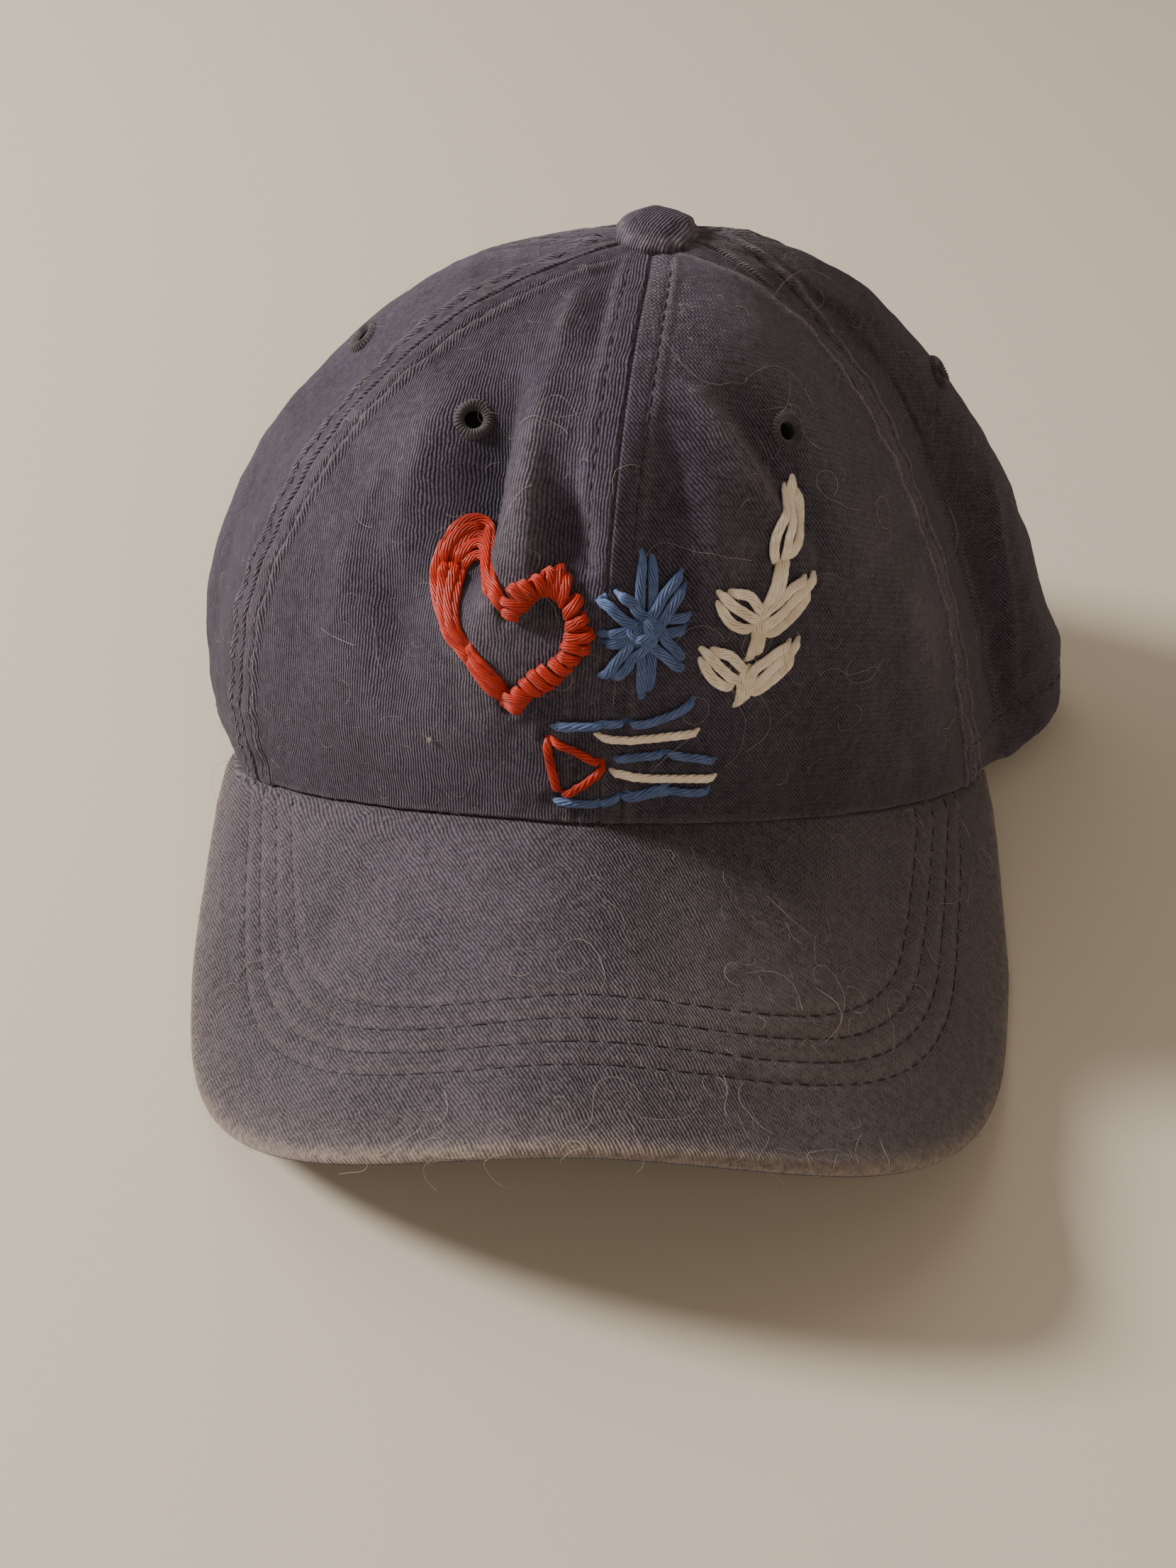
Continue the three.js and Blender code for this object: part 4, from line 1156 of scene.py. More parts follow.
def make_panel(panel):
    is_front = panel["name"].startswith("front")
    columns, rows = FRONT_GRID if is_front else SIDE_GRID
    azimuth = np.broadcast_to(panel_azimuths(panel, columns), (rows, columns)).astype(float)
    low = lowest_level(azimuth[0])
    top = level_at_radius(azimuth[0], BUTTON_HOLE)
    shares = np.linspace(0, 1, rows) ** 1.12
    level = low + (top - low) * shares[:, None]
    base = crown_base(azimuth, level)
    normal = crown_normal(azimuth, level)
    folds = fold_push(azimuth, level)
    across = running_lengths(base, 1)
    up = running_lengths(base, 0)
    from_start = across
    from_end = across[:, -1:] - across
    seam = np.minimum(from_start, from_end)
    fade_top = smooth((1 - level) / 0.06)
    first_welt, last_welt = panel["welts"]
    last_share = from_start / (from_start + from_end)
    strength = first_welt + (last_welt - first_welt) * smooth(last_share)
    relief = seam_relief(seam, up, strength) * (0.35 + 0.65 * fade_top)
    hem_inset = FRONT_HEM_INSET if is_front else HEM_STITCH_INSET
    hem = HEM_HEIGHT * (1 - smooth((up - hem_inset) / 2.2)) - HEM_LINE_DEPTH * bell(up - hem_inset, 0.6)
    relief += hem * (FRONT_HEM_SHARE if is_front else 1.0)
    relief -= EDGE_ROUNDING * np.maximum(0, 1 - up / EDGE_ROUNDING_REACH) ** 2
    world = base + ORIGIN
    folds += crease_relief(base, normal) * smooth(up / 8) * smooth((1 - level) / 0.04)
    folds += 0.50 * soft_waves(world, shortest=26, longest=60, count=14, seed=5)
    relief += 0.15 * soft_waves(world, shortest=7, longest=16, count=26, seed=8)
    relief += 0.04 * soft_waves(world, shortest=2.6, longest=4.5, count=30, seed=11)
    if is_front:
        relief += embroidery_relief(world)
    relief = np.maximum(relief, -CLOTH_WALL * 0.8)
    outer = base + normal * (folds + relief)[..., None]
    inner = base + normal * (folds - CLOTH_WALL)[..., None]
    uv = np.stack([across - across[:, -1:] * panel["grain"], up], axis=-1)
    # How pale the seams are rubbed; on the right side seam this also paints a highlight
    first_rub_and_highlight, last_rub_and_highlight = panel["rubs_and_highlights"]
    rub_and_highlight = first_rub_and_highlight + (last_rub_and_highlight - first_rub_and_highlight) * smooth(last_share)
    worn = SEAM_RUB * bell(seam - 0.8, 0.6) + WELT_RUB * bell(seam - SEAM_WELT_WIDTH + 0.2, 0.8)
    worn *= rub_and_highlight
    worn += HEM_RUB * bell(up - 0.6, 1.2) + RIDGE_RUB * np.clip(relief + folds, 0, 2)
    # painted shade: deep folds darkened in colour
    worn -= FOLD_PAINTED_SHADE * smooth((-folds - FOLD_PAINTED_SHADE_START) / FOLD_PAINTED_SHADE_REACH)
    piece = shell_object(panel["name"] + "_cloth", outer, inner, panel_cloths[panel["name"]], uv, worn)
    return dict(piece=piece, outer=outer, normal=normal, from_start=from_start, from_end=from_end, up=up,
                panel=panel)


def line_across(values, field, target):
    """Where each row of a field reaches a value, read from values of any width."""
    found = []
    for row in range(field.shape[0]):
        order = np.argsort(field[row])
        track = field[row][order]
        if not track[0] <= target <= track[-1]:
            found.append(None)
            continue
        found.append(np.array([
            np.interp(target, track, values[row][order][:, k]) for k in range(values.shape[-1])
        ]))
    return found


def keep_runs(found, smallest=6):
    runs, run = [], []
    for item in list(found) + [None]:
        if item is None:
            if len(run) >= smallest:
                runs.append(np.array(run))
            run = []
        else:
            run.append(item)
    return runs


def seam_stitch_lines(made):
    """Topstitch lines of one panel: one beside each seam, and one round the hem or the rear opening."""
    values = np.concatenate([made["outer"], made["normal"]], axis=-1)
    lines = []
    fields = [made["from_start"], made["from_end"]]
    for field in fields:
        for run in keep_runs(line_across(values[3:-6], field[3:-6], SEAM_STITCH_INSET)):
            lines.append((run[:, :3] + ORIGIN, run[:, 3:], 0.0))
    if not made["panel"]["name"].startswith("front"):
        turned = np.swapaxes(values, 0, 1)
        rise = np.swapaxes(made["up"], 0, 1)
        for run in keep_runs(line_across(turned, rise, HEM_STITCH_INSET)):
            lines.append((run[:, :3] + ORIGIN, run[:, 3:], 0.0))
    return lines


made_panels = {panel["name"]: make_panel(panel) for panel in PANELS}


# Brim

def brim_edge():
    count = 400
    front = -RIM_FRONT_DEPTH - BRIM_REACH
    angle = (np.arange(count + 1) / count - 0.5) * math.pi
    points = np.stack([
        BRIM_HALF_WIDTH * signed_power(np.sin(angle), BRIM_SIDE_ROUNDNESS),
        BRIM_END_BACK - (BRIM_END_BACK - front) * np.abs(np.cos(angle)) ** BRIM_FRONT_ROUNDNESS,
        np.zeros(count + 1),
    ], axis=-1)
    lengths = running_lengths(points, 0)
    half = lengths[-1] / 2
    away = np.abs(lengths - half)
    wave = (1 + np.cos(math.pi * np.minimum(away / BRIM_HALF_PERIOD, 1))) / 2
    lift = smooth((away - BRIM_HALF_PERIOD) / (half - BRIM_HALF_PERIOD))
    points[:, 2] = BRIM_SIDE_HEIGHT + (BRIM_FRONT_HEIGHT - BRIM_SIDE_HEIGHT) * wave
    points[:, 2] += (BRIM_END_HEIGHT - BRIM_SIDE_HEIGHT) * lift
    return points, lengths


EDGE_POINTS, EDGE_LENGTHS = brim_edge()


def edge_point(across):
    target = (np.asarray(across) + 1) / 2 * EDGE_LENGTHS[-1]
    return np.stack([np.interp(target, EDGE_LENGTHS, EDGE_POINTS[:, k]) for k in range(3)], axis=-1)


def end_azimuth(side):
    azimuth = 60.0
    while rim_point(side * azimuth)[1] < BRIM_END_BACK:
        azimuth += 0.25
    return azimuth


BRIM_END_LEFT = end_azimuth(-1)
BRIM_END_RIGHT = end_azimuth(1)


def brim_middle(across, out):
    end = np.where(across < 0, BRIM_END_LEFT, BRIM_END_RIGHT)
    rim = rim_point(end * signed_power(across, BRIM_FAN_POWER))
    rim[..., 2] -= SEAT_GAP + BRIM_WALL / 2
    outer = edge_point(across)
    inward = rim - outer
    inward[..., 2] = 0
    tucked = rim + unit(inward) * (np.maximum(-out, 0) * BRIM_TUCK)[..., None]
    share = np.maximum(out, 0)[..., None]
    return tucked + (outer - rim) * share


def brim_normal(across, out):
    step = 0.02
    o = np.maximum(out, 0.05)
    sideways = brim_middle(np.minimum(across + step, 1), o) - brim_middle(np.maximum(across - step, -1), o)
    outwards = brim_middle(across, np.minimum(o + step, 1)) - brim_middle(across, o - step)
    normal = unit(np.cross(outwards, sideways))
    flat = np.zeros_like(normal)
    flat[..., 2] = 1
    blend = smooth(out / 0.1)[..., None]
    return unit(normal * blend + flat * (1 - blend))


def make_brim():
    columns, rows = BRIM_GRID
    across = np.broadcast_to(1 - 2 * np.linspace(0, 1, columns), (rows, columns)).astype(float)
    body = 1 - (1 - np.linspace(0, 1, rows - 5)) ** 1.25
    outs = np.concatenate([[-1, -0.75, -0.5, -0.25], body, [1.0]])
    outs = np.concatenate([outs[:-2], [1 - (1 - outs[-3]) * 0.35, 1.0]])
    out = np.broadcast_to(outs[:, None], (rows, columns)).astype(float)
    middle = brim_middle(across, out)
    normal = brim_normal(across, out)
    to_edge = np.empty((rows, columns))
    first = EDGE_POINTS[:-1]
    step = np.diff(EDGE_POINTS, axis=0)
    for row in range(rows):
        gap = middle[row][:, None, :] - first
        share = np.clip((gap * step).sum(-1) / (step * step).sum(-1), 0, 1)
        to_edge[row] = np.linalg.norm(gap - share[..., None] * step, axis=-1).min(1)
    to_edge[-1] = 0
    half_wall = BRIM_WALL / 2
    round_edge = np.sqrt(np.clip(1 - np.maximum(0, 1 - to_edge / half_wall) ** 2, 0, 1))
    world = middle + ORIGIN
    relief = 0.16 * soft_waves(world, shortest=20, longest=46, count=14, seed=21)
    relief += 0.05 * soft_waves(world, shortest=5, longest=11, count=24, seed=22)
    run = across * EDGE_LENGTHS[-1] / 2
    for inset in BRIM_ROW_INSETS:
        stitch_turn = run * 2 * math.pi / BRIM_STITCH_PITCH + inset
        relief -= BRIM_ROW_DEPTH * bell(to_edge - inset, 0.55)
        relief += BRIM_PUCKER_HEIGHT * np.sin(stitch_turn) * bell(to_edge - inset, 1.4)
    relief += BRIM_PIPING_HEIGHT * bell(to_edge - BRIM_PIPING_INSET, 1.3)
    visible = smooth(out / 0.03)
    thickness = half_wall * np.maximum(round_edge, 0.02)
    outer = middle + normal * (thickness + relief * visible * round_edge)[..., None]
    inner = middle - normal * (thickness + 0.4 * relief * visible * round_edge)[..., None]
    x = middle[..., 0]
    slope = 2 * BRIM_ARCH_CURVE * x
    flat_x = 0.5 * x * np.sqrt(1 + slope ** 2) + np.arcsinh(slope) / (4 * BRIM_ARCH_CURVE)
    uv = np.stack([flat_x, middle[..., 1] * 1.03], axis=-1)
    from_light_spot = np.hypot(world[..., 0] - BRIM_LIGHT_SPOT[0], world[..., 1] - BRIM_LIGHT_SPOT[1])
    worn = BRIM_EDGE_RUB * bell(to_edge, 2.4) + BRIM_MARGIN_RUB * bell(to_edge, 9)
    # painted light: a paler patch on the brim near the crown
    worn += BRIM_PAINTED_LIGHT * bell(from_light_spot, BRIM_LIGHT_SPOT_REACH)
    for inset in BRIM_ROW_INSETS:
        worn += BRIM_ROW_RUB * bell(to_edge - inset - 1.3, 0.9)
    piece = shell_object("brim_cloth", outer, inner, brim_cloth, uv, worn)
    return dict(piece=piece, outer=outer, inner=inner, normal=normal, to_edge=to_edge)


def brim_stitch_lines(made):
    lines = []
    rows = slice(6, -2)
    for face, direction in ((made["outer"], made["normal"]), (made["inner"], -made["normal"])):
        values = np.concatenate([face, direction], axis=-1)
        for inset in BRIM_ROW_INSETS:
            field = np.swapaxes(made["to_edge"][rows], 0, 1)
            found = line_across(np.swapaxes(values[rows], 0, 1), field, inset)
            for run in keep_runs(found):
                lines.append((run[:, :3] + ORIGIN, run[:, 3:], 0.0))
    return lines


made_brim = make_brim()

stitch_lines = []
for made in made_panels.values():
    stitch_lines.extend(seam_stitch_lines(made))
seam_stitches = grow_on_lines("panel_topstitches", stitch_lines, stitch_tree, Material=seam_thread)
brim_stitches = grow_on_lines("brim_topstitches", brim_stitch_lines(made_brim), stitch_tree,
                              Material=seam_thread, **BRIM_STITCH)


# Floss on the front of the crown

def cloth_tree(pieces):
    """The finished outer cloth of some pieces, for laying stitches and hairs on it."""
    points, faces = [], []
    for made in pieces:
        rows, columns = made["outer"].shape[:2]
        first = len(points)
        points.extend((made["outer"] + ORIGIN).reshape(-1, 3).tolist())
        corner = first + np.arange(rows * columns).reshape(rows, columns)
        quads = [corner[:-1, :-1], corner[:-1, 1:], corner[1:, 1:], corner[1:, :-1]]
        faces.extend(np.stack([quad.ravel() for quad in quads], axis=1).tolist())
    return BVHTree.FromPolygons(points, faces)


crown_tree = cloth_tree(made_panels.values())
brim_tree = cloth_tree([made_brim])


def on_front(x, z):
    """Point and direction of the cloth where a line from straight ahead meets it."""
    spot, normal, _, _ = crown_tree.ray_cast(Vector((x, -FRONT_VIEW_DISTANCE, z)), Vector((0, 1, 0)))
    return np.array(spot), np.array(normal)


def on_cloth(point, outwards):
    """Point of the finished cloth over a point of the crown."""
    spot = crown_tree.ray_cast(Vector(point + outwards * CLOTH_SEARCH), Vector(-outwards))[0]
    return point if spot is None else np.array(spot)


def strand_line(stitch, rng):
    """A stitch of floss that comes up through the cloth, lies over it and goes down again."""
    run = stitch["end"] - stitch["start"]
    length = np.hypot(*run)
    across = np.array([-run[1], run[0]]) / length
    count = max(9, int(length / STRAND_STEP))
    points, ups = [], []
    wave = rng.uniform(-STRAND_WAVE, STRAND_WAVE)
    for share in np.linspace(0, 1, count):
        sideways = stitch["bow"] * math.sin(math.pi * share) + wave * math.sin(2 * math.pi * share)
        flat = stitch["start"] + run * share + across * sideways
        spot, normal = on_front(*flat)
        from_end = min(share, 1 - share) * length
        risen = float(smooth(from_end / STRAND_RISE))
        height = -STRAND_DIVE * (1 - risen) + risen * (STRAND_SEAT + stitch["layer"])
        points.append(spot + normal * height)
        ups.append(normal)
    return even_line(points, ups, rng.uniform(0, 1))


def even_line(points, ups, phase):
    """Directions eased along a line, so that a strand doesn't twitch where the cloth's facets change."""
    ups = np.array(ups)
    for _ in range(4):
        ups[1:-1] = unit(ups[:-2] + ups[1:-1] * 2 + ups[2:])
    return (np.array(points), unit(ups), phase)


def wrapped_bar(first, last, rng, turns=22, half_width=1.9, half_height=0.85):
    """Floss coiled round the heart's outline, as an uneven row of wraps."""
    count = turns * 16
    points, ups = [], []
    centre = np.array(HEART_CENTRE)
    drift = rng.uniform(-0.45, 0.45, turns + 1)
    for step in range(count + 1):
        share = step / count
        around = 2 * math.pi * turns * share
        here = heart_outline(first + (last - first) * share)
        ahead = heart_outline(first + (last - first) * (share + 0.01))
        along = (ahead - here) / np.hypot(*(ahead - here))
        across = np.array([-along[1], along[0]])
        here = here + (centre - here) * 0.10
        swing = half_width * (1 + 0.16 * math.sin(around / turns * 5))
        uneven = np.interp(share * turns, np.arange(turns + 1), drift)
        flat = here + across * swing * math.cos(around) + along * uneven
        spot, normal = on_front(*flat)
        height = 0.35 + half_height * (1 + math.sin(around))
        side = np.array([across[0], 0, across[1]])
        radial = unit(side * math.cos(around) / half_width + normal * math.sin(around) / half_height)
        points.append(spot + normal * height)
        ups.append(radial)
    return (np.array(points), np.array(ups), rng.uniform(0, 1))


rng = np.random.default_rng(17)
floss_pieces, floss_materials = [], []
for color, floss in flosses.items():
    motif_lines = [strand_line(stitch, rng) for stitch in MOTIFS[color]]
    if color == "red":
        motif_lines.append(wrapped_bar(*HEART_BAR, rng))
    stripe_lines = [strand_line(stitch, rng) for stitch in STRIPES[color]]
    floss_pieces.append(grow_on_lines("motif_" + color, motif_lines, floss_tree, Material=floss))
    floss_pieces.append(grow_on_lines("stripes_" + color, stripe_lines, floss_tree, Material=floss, **CORD))
    floss_materials += [floss, floss]


# Eyelets

def eyelet_frame(azimuth, level):
    """Centre of an eyelet on the finished cloth, its outward direction and two directions along the cloth."""
    azimuth, level = np.array(float(azimuth)), np.array(float(level))
    outwards = crown_normal(azimuth, level)
    centre = on_cloth(crown_base(azimuth, level) + ORIGIN, outwards)
    sideways = unit(np.cross(np.array([0, 0, 1.0]), outwards))
    upwards = np.cross(outwards, sideways)
    left, right, low, high = (
        on_cloth(centre + way * EYELET_RADIUS, outwards) for way in (-sideways, sideways, -upwards, upwards)
    )
    outwards = unit(np.cross(right - left, high - low))
    sideways = unit(right - left)
    centre = (left + right + low + high + centre * 2) / 6
    return centre + outwards * EYELET_SEAT, outwards, sideways, np.cross(outwards, sideways)


def eyelet_ring_mesh(centre, outwards, sideways, upwards, around=40, section=10):
    """The raised bed under the stitches of an eyelet."""
    middle = (EYELET_HOLE + EYELET_RADIUS) / 2
    half = (EYELET_RADIUS - EYELET_HOLE) / 2 * EYELET_BED_SHARE
    vertices, faces = [], []
    for i in range(around):
        turn = 2 * math.pi * i / around
        ray = sideways * math.cos(turn) + upwards * math.sin(turn)
        for j in range(section):
            lean = 2 * math.pi * j / section
            rise = outwards * EYELET_BED_HEIGHT * math.sin(lean)
            vertices.append(centre + ray * (middle + half * math.cos(lean)) + rise)
            a, b = i * section + j, ((i + 1) % around) * section + j
            c, d = ((i + 1) % around) * section + (j + 1) % section, i * section + (j + 1) % section
            faces.append((a, b, c, d))
    return vertices, faces


eyelet_lines, ring_vertices, ring_faces, drills = [], [], [], []
for eyelet in EYELETS:
    centre, outwards, sideways, upwards = eyelet_frame(eyelet["azimuth"], eyelet["level"])
    turns = np.linspace(0, 2 * math.pi, 61)
    middle = (EYELET_HOLE + EYELET_RADIUS) / 2
    rays = [sideways * math.cos(turn) + upwards * math.sin(turn) for turn in turns]
    loop = [centre + outwards * EYELET_STITCH_SEAT + ray * middle for ray in rays]
    eyelet_lines.append((np.array(loop), np.array([outwards] * len(loop)), 0.0))
    vertices, faces = eyelet_ring_mesh(centre, outwards, sideways, upwards)
    ring_faces.extend(tuple(i + len(ring_vertices) for i in face) for face in faces)
    ring_vertices.extend(vertices)
    drills.append(dict(centre=centre, outwards=outwards, sideways=sideways, upwards=upwards))

eyelet_rings = mesh_object("eyelet_beds", np.array(ring_vertices), ring_faces, eyelet_thread)
eyelet_stitches = grow_on_lines("eyelet_stitches", eyelet_lines, stitch_tree,
                                Material=eyelet_thread, **EYELET_STITCH)


# Lint

def lint_on(made, name, seed, density, length):
    """Hairs on the outer faces of a shell, which come first in its mesh."""
    rows, columns = made["outer"].shape[:2]
    outer_count = (rows - 1) * (columns - 1)
    mesh = made["piece"].data
    bed = bpy.data.meshes.new(name + "_bed")
    polygons = [tuple(face.vertices) for face in mesh.polygons[:outer_count]]
    bed.from_pydata([tuple(v.co) for v in mesh.vertices], [], polygons)
    source = bpy.data.objects.new(name + "_bed", bed)
    bpy.context.scene.collection.objects.link(source)
    grown = grow(name, source, lint_tree, Density=density, Seed=seed, Hair_Length=length * MM,
                 Material=lint_thread)
    bpy.data.objects.remove(source)
    return grown


lint_pieces = [
    lint_on(made_brim, "brim_lint", 5, **BRIM_LINT),
    lint_on(made_brim, "brim_long_lint", 6, **BRIM_LONG_LINT),
]
for number, (name, made) in enumerate(made_panels.items()):
    lint_pieces.append(lint_on(made, name + "_lint", 11 + number, **PANEL_LINT))
    if name.startswith("front"):
        lint_pieces.append(lint_on(made, name + "_long_lint", 31 + number, **PANEL_LONG_LINT))
for number, (piece, floss) in enumerate(zip(floss_pieces, floss_materials)):
    fuzz = grow(piece.name + "_fuzz", piece, lint_tree, Seed=61 + number, Material=floss, **FLOSS_FUZZ)
    lint_pieces.append(fuzz)


# Loose curly hairs begin between low and high: azimuth and level on the crown, across and out on the brim
HAIR_BANDS = [
    dict(surface="crown", low=(4, 0.10), high=(58, 0.72), count=15, lengths=(8, 28)),
    dict(surface="crown", low=(-52, 0.08), high=(-4, 0.72), count=9, lengths=(5, 18)),
    dict(surface="brim", low=(-0.25, 0.10), high=(0.80, 0.97), count=22, lengths=(8, 28)),
    dict(surface="brim", low=(-0.85, 0.10), high=(-0.25, 0.97), count=7, lengths=(5, 16)),
    dict(surface="brim", low=(-0.28, 0.985), high=(0.42, 0.999), count=18, lengths=(6, 15)),
]


def hair_start(surface, across, along):
    """Place and outward direction where a hair begins: azimuth and level, or shares of the brim."""
    across, along = np.array(across), np.array(along)
    if surface == "crown":
        return crown_base(across, along) + ORIGIN, crown_normal(across, along)
    return brim_middle(across, along) + ORIGIN, brim_normal(across, along)


def hair_line(tree, place, outwards, length, rng):
    """A hair that wanders over the cloth in changing curls, and hangs where it runs off an edge."""
    heading = unit(np.cross(outwards, rng.normal(size=3)))
    bend = rng.uniform(-HAIR_TURN, HAIR_TURN)
    phase = rng.uniform(0, 2 * math.pi)
    points, ups = [], []
    for step in range(int(length / HAIR_STEP)):
        above = Vector(place + outwards * HAIR_SEARCH)
        spot, normal, _, _ = tree.ray_cast(above, Vector(-outwards), 2 * HAIR_SEARCH)
        if spot is None:
            points.append(place)
            heading = unit(heading + np.array([0, 0, -HAIR_DROOP]))
        else:
            outwards = np.array(normal)
            place = np.array(spot)
            lift = HAIR_SEAT + HAIR_LIFT * (0.5 + 0.5 * math.sin(step * HAIR_ROLL + phase))
            points.append(place + outwards * lift)
            heading = unit(heading - outwards * (heading @ outwards))
        ups.append(outwards)
        bend = float(np.clip(bend + rng.normal(0, HAIR_TURN / 3), -2 * HAIR_TURN, 2 * HAIR_TURN))
        heading = unit(heading + np.cross(outwards, heading) * bend)
        place = place + heading * HAIR_STEP
    return (np.array(points), np.array(ups), 0.0)


def fluff_lines(rng, count=16, radius=0.75):
    """A small pale knot of fibres caught on the left front."""
    centre, outwards = on_front(*FLUFF_PLACE)
    lines = []
    for _ in range(count):
        share = np.linspace(0, 1, 14)[:, None]
        swing = rng.uniform(1.5, 4.5, 3)
        start = rng.uniform(0, 2 * math.pi, 3)
        reach = radius * unit(rng.normal(size=3) + 0.6)
        points = centre + outwards * 0.5 + reach * np.sin(share * swing + start)
        lines.append((points, np.array([outwards] * len(share)), 0.0))
    return lines


rng = np.random.default_rng(29)
hair_lines = fluff_lines(rng)
for band in HAIR_BANDS:
    surface_tree = crown_tree if band["surface"] == "crown" else brim_tree
    for _ in range(band["count"]):
        across, along = rng.uniform(band["low"], band["high"])
        place, outwards = hair_start(band["surface"], across, along)
        hair_lines.append(hair_line(surface_tree, place, outwards, rng.uniform(*band["lengths"]), rng))
lint_pieces.append(grow_on_lines("loose_hairs", hair_lines, hair_tree, Material=hair_thread))


# Strap and slide at the back

def wall_point(azimuth, height, depth):
    level = level_at_height(azimuth, height)
    push = fold_push(azimuth, level) - depth
    normal = crown_normal(azimuth, level)
    return crown_base(azimuth, level) + normal * np.asarray(push)[..., None], normal


def make_strap():
    columns, rows = STRAP_GRID
    reach = ARCH_HALF_ANGLE + STRAP_OVERLAP
    across = np.linspace(-1, 1, columns)[None, :]
    up = np.linspace(0, 1, rows)[:, None]
    azimuth = np.broadcast_to(180 + reach * across, (rows, columns))
    height = np.broadcast_to(STRAP_LIFT + STRAP_WIDTH * up, (rows, columns))
    outer, normal = wall_point(azimuth, height, CLOTH_WALL + STRAP_GAP)
    inner, _ = wall_point(azimuth, height, CLOTH_WALL + STRAP_GAP + STRAP_WALL)
    edge = STRAP_WIDTH * np.minimum(up, 1 - up) + 0 * across
    relief = -0.35 * np.maximum(0, 1 - edge / 0.8) ** 2 - 0.22 * bell(edge - STRAP_STITCH_INSET, 0.45)
    run = running_lengths(outer, 1)
    relief += 0.05 * np.sin(run * 2 * math.pi / STITCH_PITCH) * bell(edge - STRAP_STITCH_INSET, 1.2)
    relief += 0.05 * soft_waves(outer, shortest=6, longest=14, count=12, seed=41)
    outer = outer + normal * relief[..., None]
    inner = inner - normal * relief[..., None] * 0.5
    uv = np.stack([run, height], axis=-1)
    worn = 0.35 * bell(edge, 0.9) + 0.10 * bell(edge - STRAP_STITCH_INSET - 1.0, 0.7)
    piece = shell_object("strap_cloth", outer, inner, small_cloth, uv, worn)
    lines = []
    for row in (STRAP_STITCH_INSET, STRAP_WIDTH - STRAP_STITCH_INSET):
        place = row / STRAP_WIDTH * (rows - 1)
        low, share = int(place), place - int(place)
        track = outer[low] * (1 - share) + outer[low + 1] * share
        lines.append((track + ORIGIN, normal[low], 0.0))
    return piece, lines


def box_stitch_lines():
    """The crossed boxes that sew each end of the strap to the crown."""
    lines = []
    for side in (-1, 1):
        near = 180 + side * (ARCH_HALF_ANGLE + BOX_STITCH_NEAR)
        far = 180 + side * (ARCH_HALF_ANGLE + STRAP_OVERLAP - BOX_STITCH_FAR)
        low = STRAP_LIFT + BOX_STITCH_INSET
        high = STRAP_LIFT + STRAP_WIDTH - BOX_STITCH_INSET
        corners = [(near, low), (far, low), (far, high), (near, high), (near, low), (far, high)]
        for first, last in zip(corners[:-1], corners[1:]):
            points, ups = [], []
            for share in np.linspace(0, 1, 12):
                azimuth = np.array(first[0] + (last[0] - first[0]) * share)
                height = np.array(first[1] + (last[1] - first[1]) * share)
                point, normal = wall_point(azimuth, height, 0.0)
                points.append(on_cloth(point + ORIGIN, normal))
                ups.append(normal)
            lines.append((np.array(points), np.array(ups), 0.0))
    return lines


def make_slide():
    """A flat sleeve of thin plate with eased edges, round the strap."""
    clearance = SEAT_GAP * 2
    half_deep = STRAP_WALL / 2 + clearance + SLIDE_WALL
    half_high = STRAP_WIDTH / 2 + SEAT_GAP + SLIDE_WALL
    middle, outwards = wall_point(np.array(180.0), np.array(STRAP_LIFT + STRAP_WIDTH / 2),
                                  CLOTH_WALL + STRAP_GAP + STRAP_WALL / 2)
    along = unit(np.cross(outwards, np.array([0, 0, 1.0])))
    upwards = np.cross(along, outwards)
    ease = SLIDE_EASE
    half = SLIDE_LENGTH / 2
    section = [(-half, ease), (-half + ease * 0.3, ease * 0.3), (-half + ease, 0), (half - ease, 0),
               (half - ease * 0.3, ease * 0.3), (half, ease),
               (half, SLIDE_WALL - ease), (half - ease, SLIDE_WALL), (-half + ease, SLIDE_WALL),
               (-half, SLIDE_WALL - ease)]
    corner_steps = 6
    vertices, faces, around = [], [], 4 * corner_steps
    for step, inset in section:
        corner = max(0.9 - inset * 0.5, 0.2)
        for quarter, (sx, sy) in enumerate([(1, 1), (-1, 1), (-1, -1), (1, -1)]):
            for k in range(corner_steps):
                turn = (quarter + k / (corner_steps - 1)) * math.pi / 2
                deep = sx * (half_deep - inset - corner) + corner * math.cos(turn)
                high = sy * (half_high - inset - corner) + corner * math.sin(turn)
                vertices.append(middle + along * step + outwards * deep + upwards * high)
    for i in range(len(section)):
        following = (i + 1) % len(section)
        for j in range(around):
            k = (j + 1) % around
            faces.append((i * around + j, i * around + k, following * around + k, following * around + j))
    return mesh_object("slide_plate", np.array(vertices) + ORIGIN, faces, metal)


strap, strap_lines = make_strap()
strap_stitches = grow_on_lines("strap_topstitches", strap_lines + box_stitch_lines(), stitch_tree,
                               Material=seam_thread, **STRAP_STITCH)
slide = make_slide()


# Holes through the cloth under the eyelets

def make_drills(around=20, long=4.0):
    vertices, faces = [], []
    for drill in drills:
        first = len(vertices)
        for end in (-long, long):
            for i in range(around):
                turn = 2 * math.pi * i / around
                ray = drill["sideways"] * math.cos(turn) + drill["upwards"] * math.sin(turn)
                vertices.append(drill["centre"] + drill["outwards"] * end + ray * EYELET_HOLE)
        for i in range(around):
            k = (i + 1) % around
            faces.append((first + i, first + k, first + around + k, first + around + i))
        faces.append(tuple(first + i for i in reversed(range(around))))
        faces.append(tuple(first + around + i for i in range(around)))
    return mesh_object("drills", np.array(vertices), faces, small_cloth)


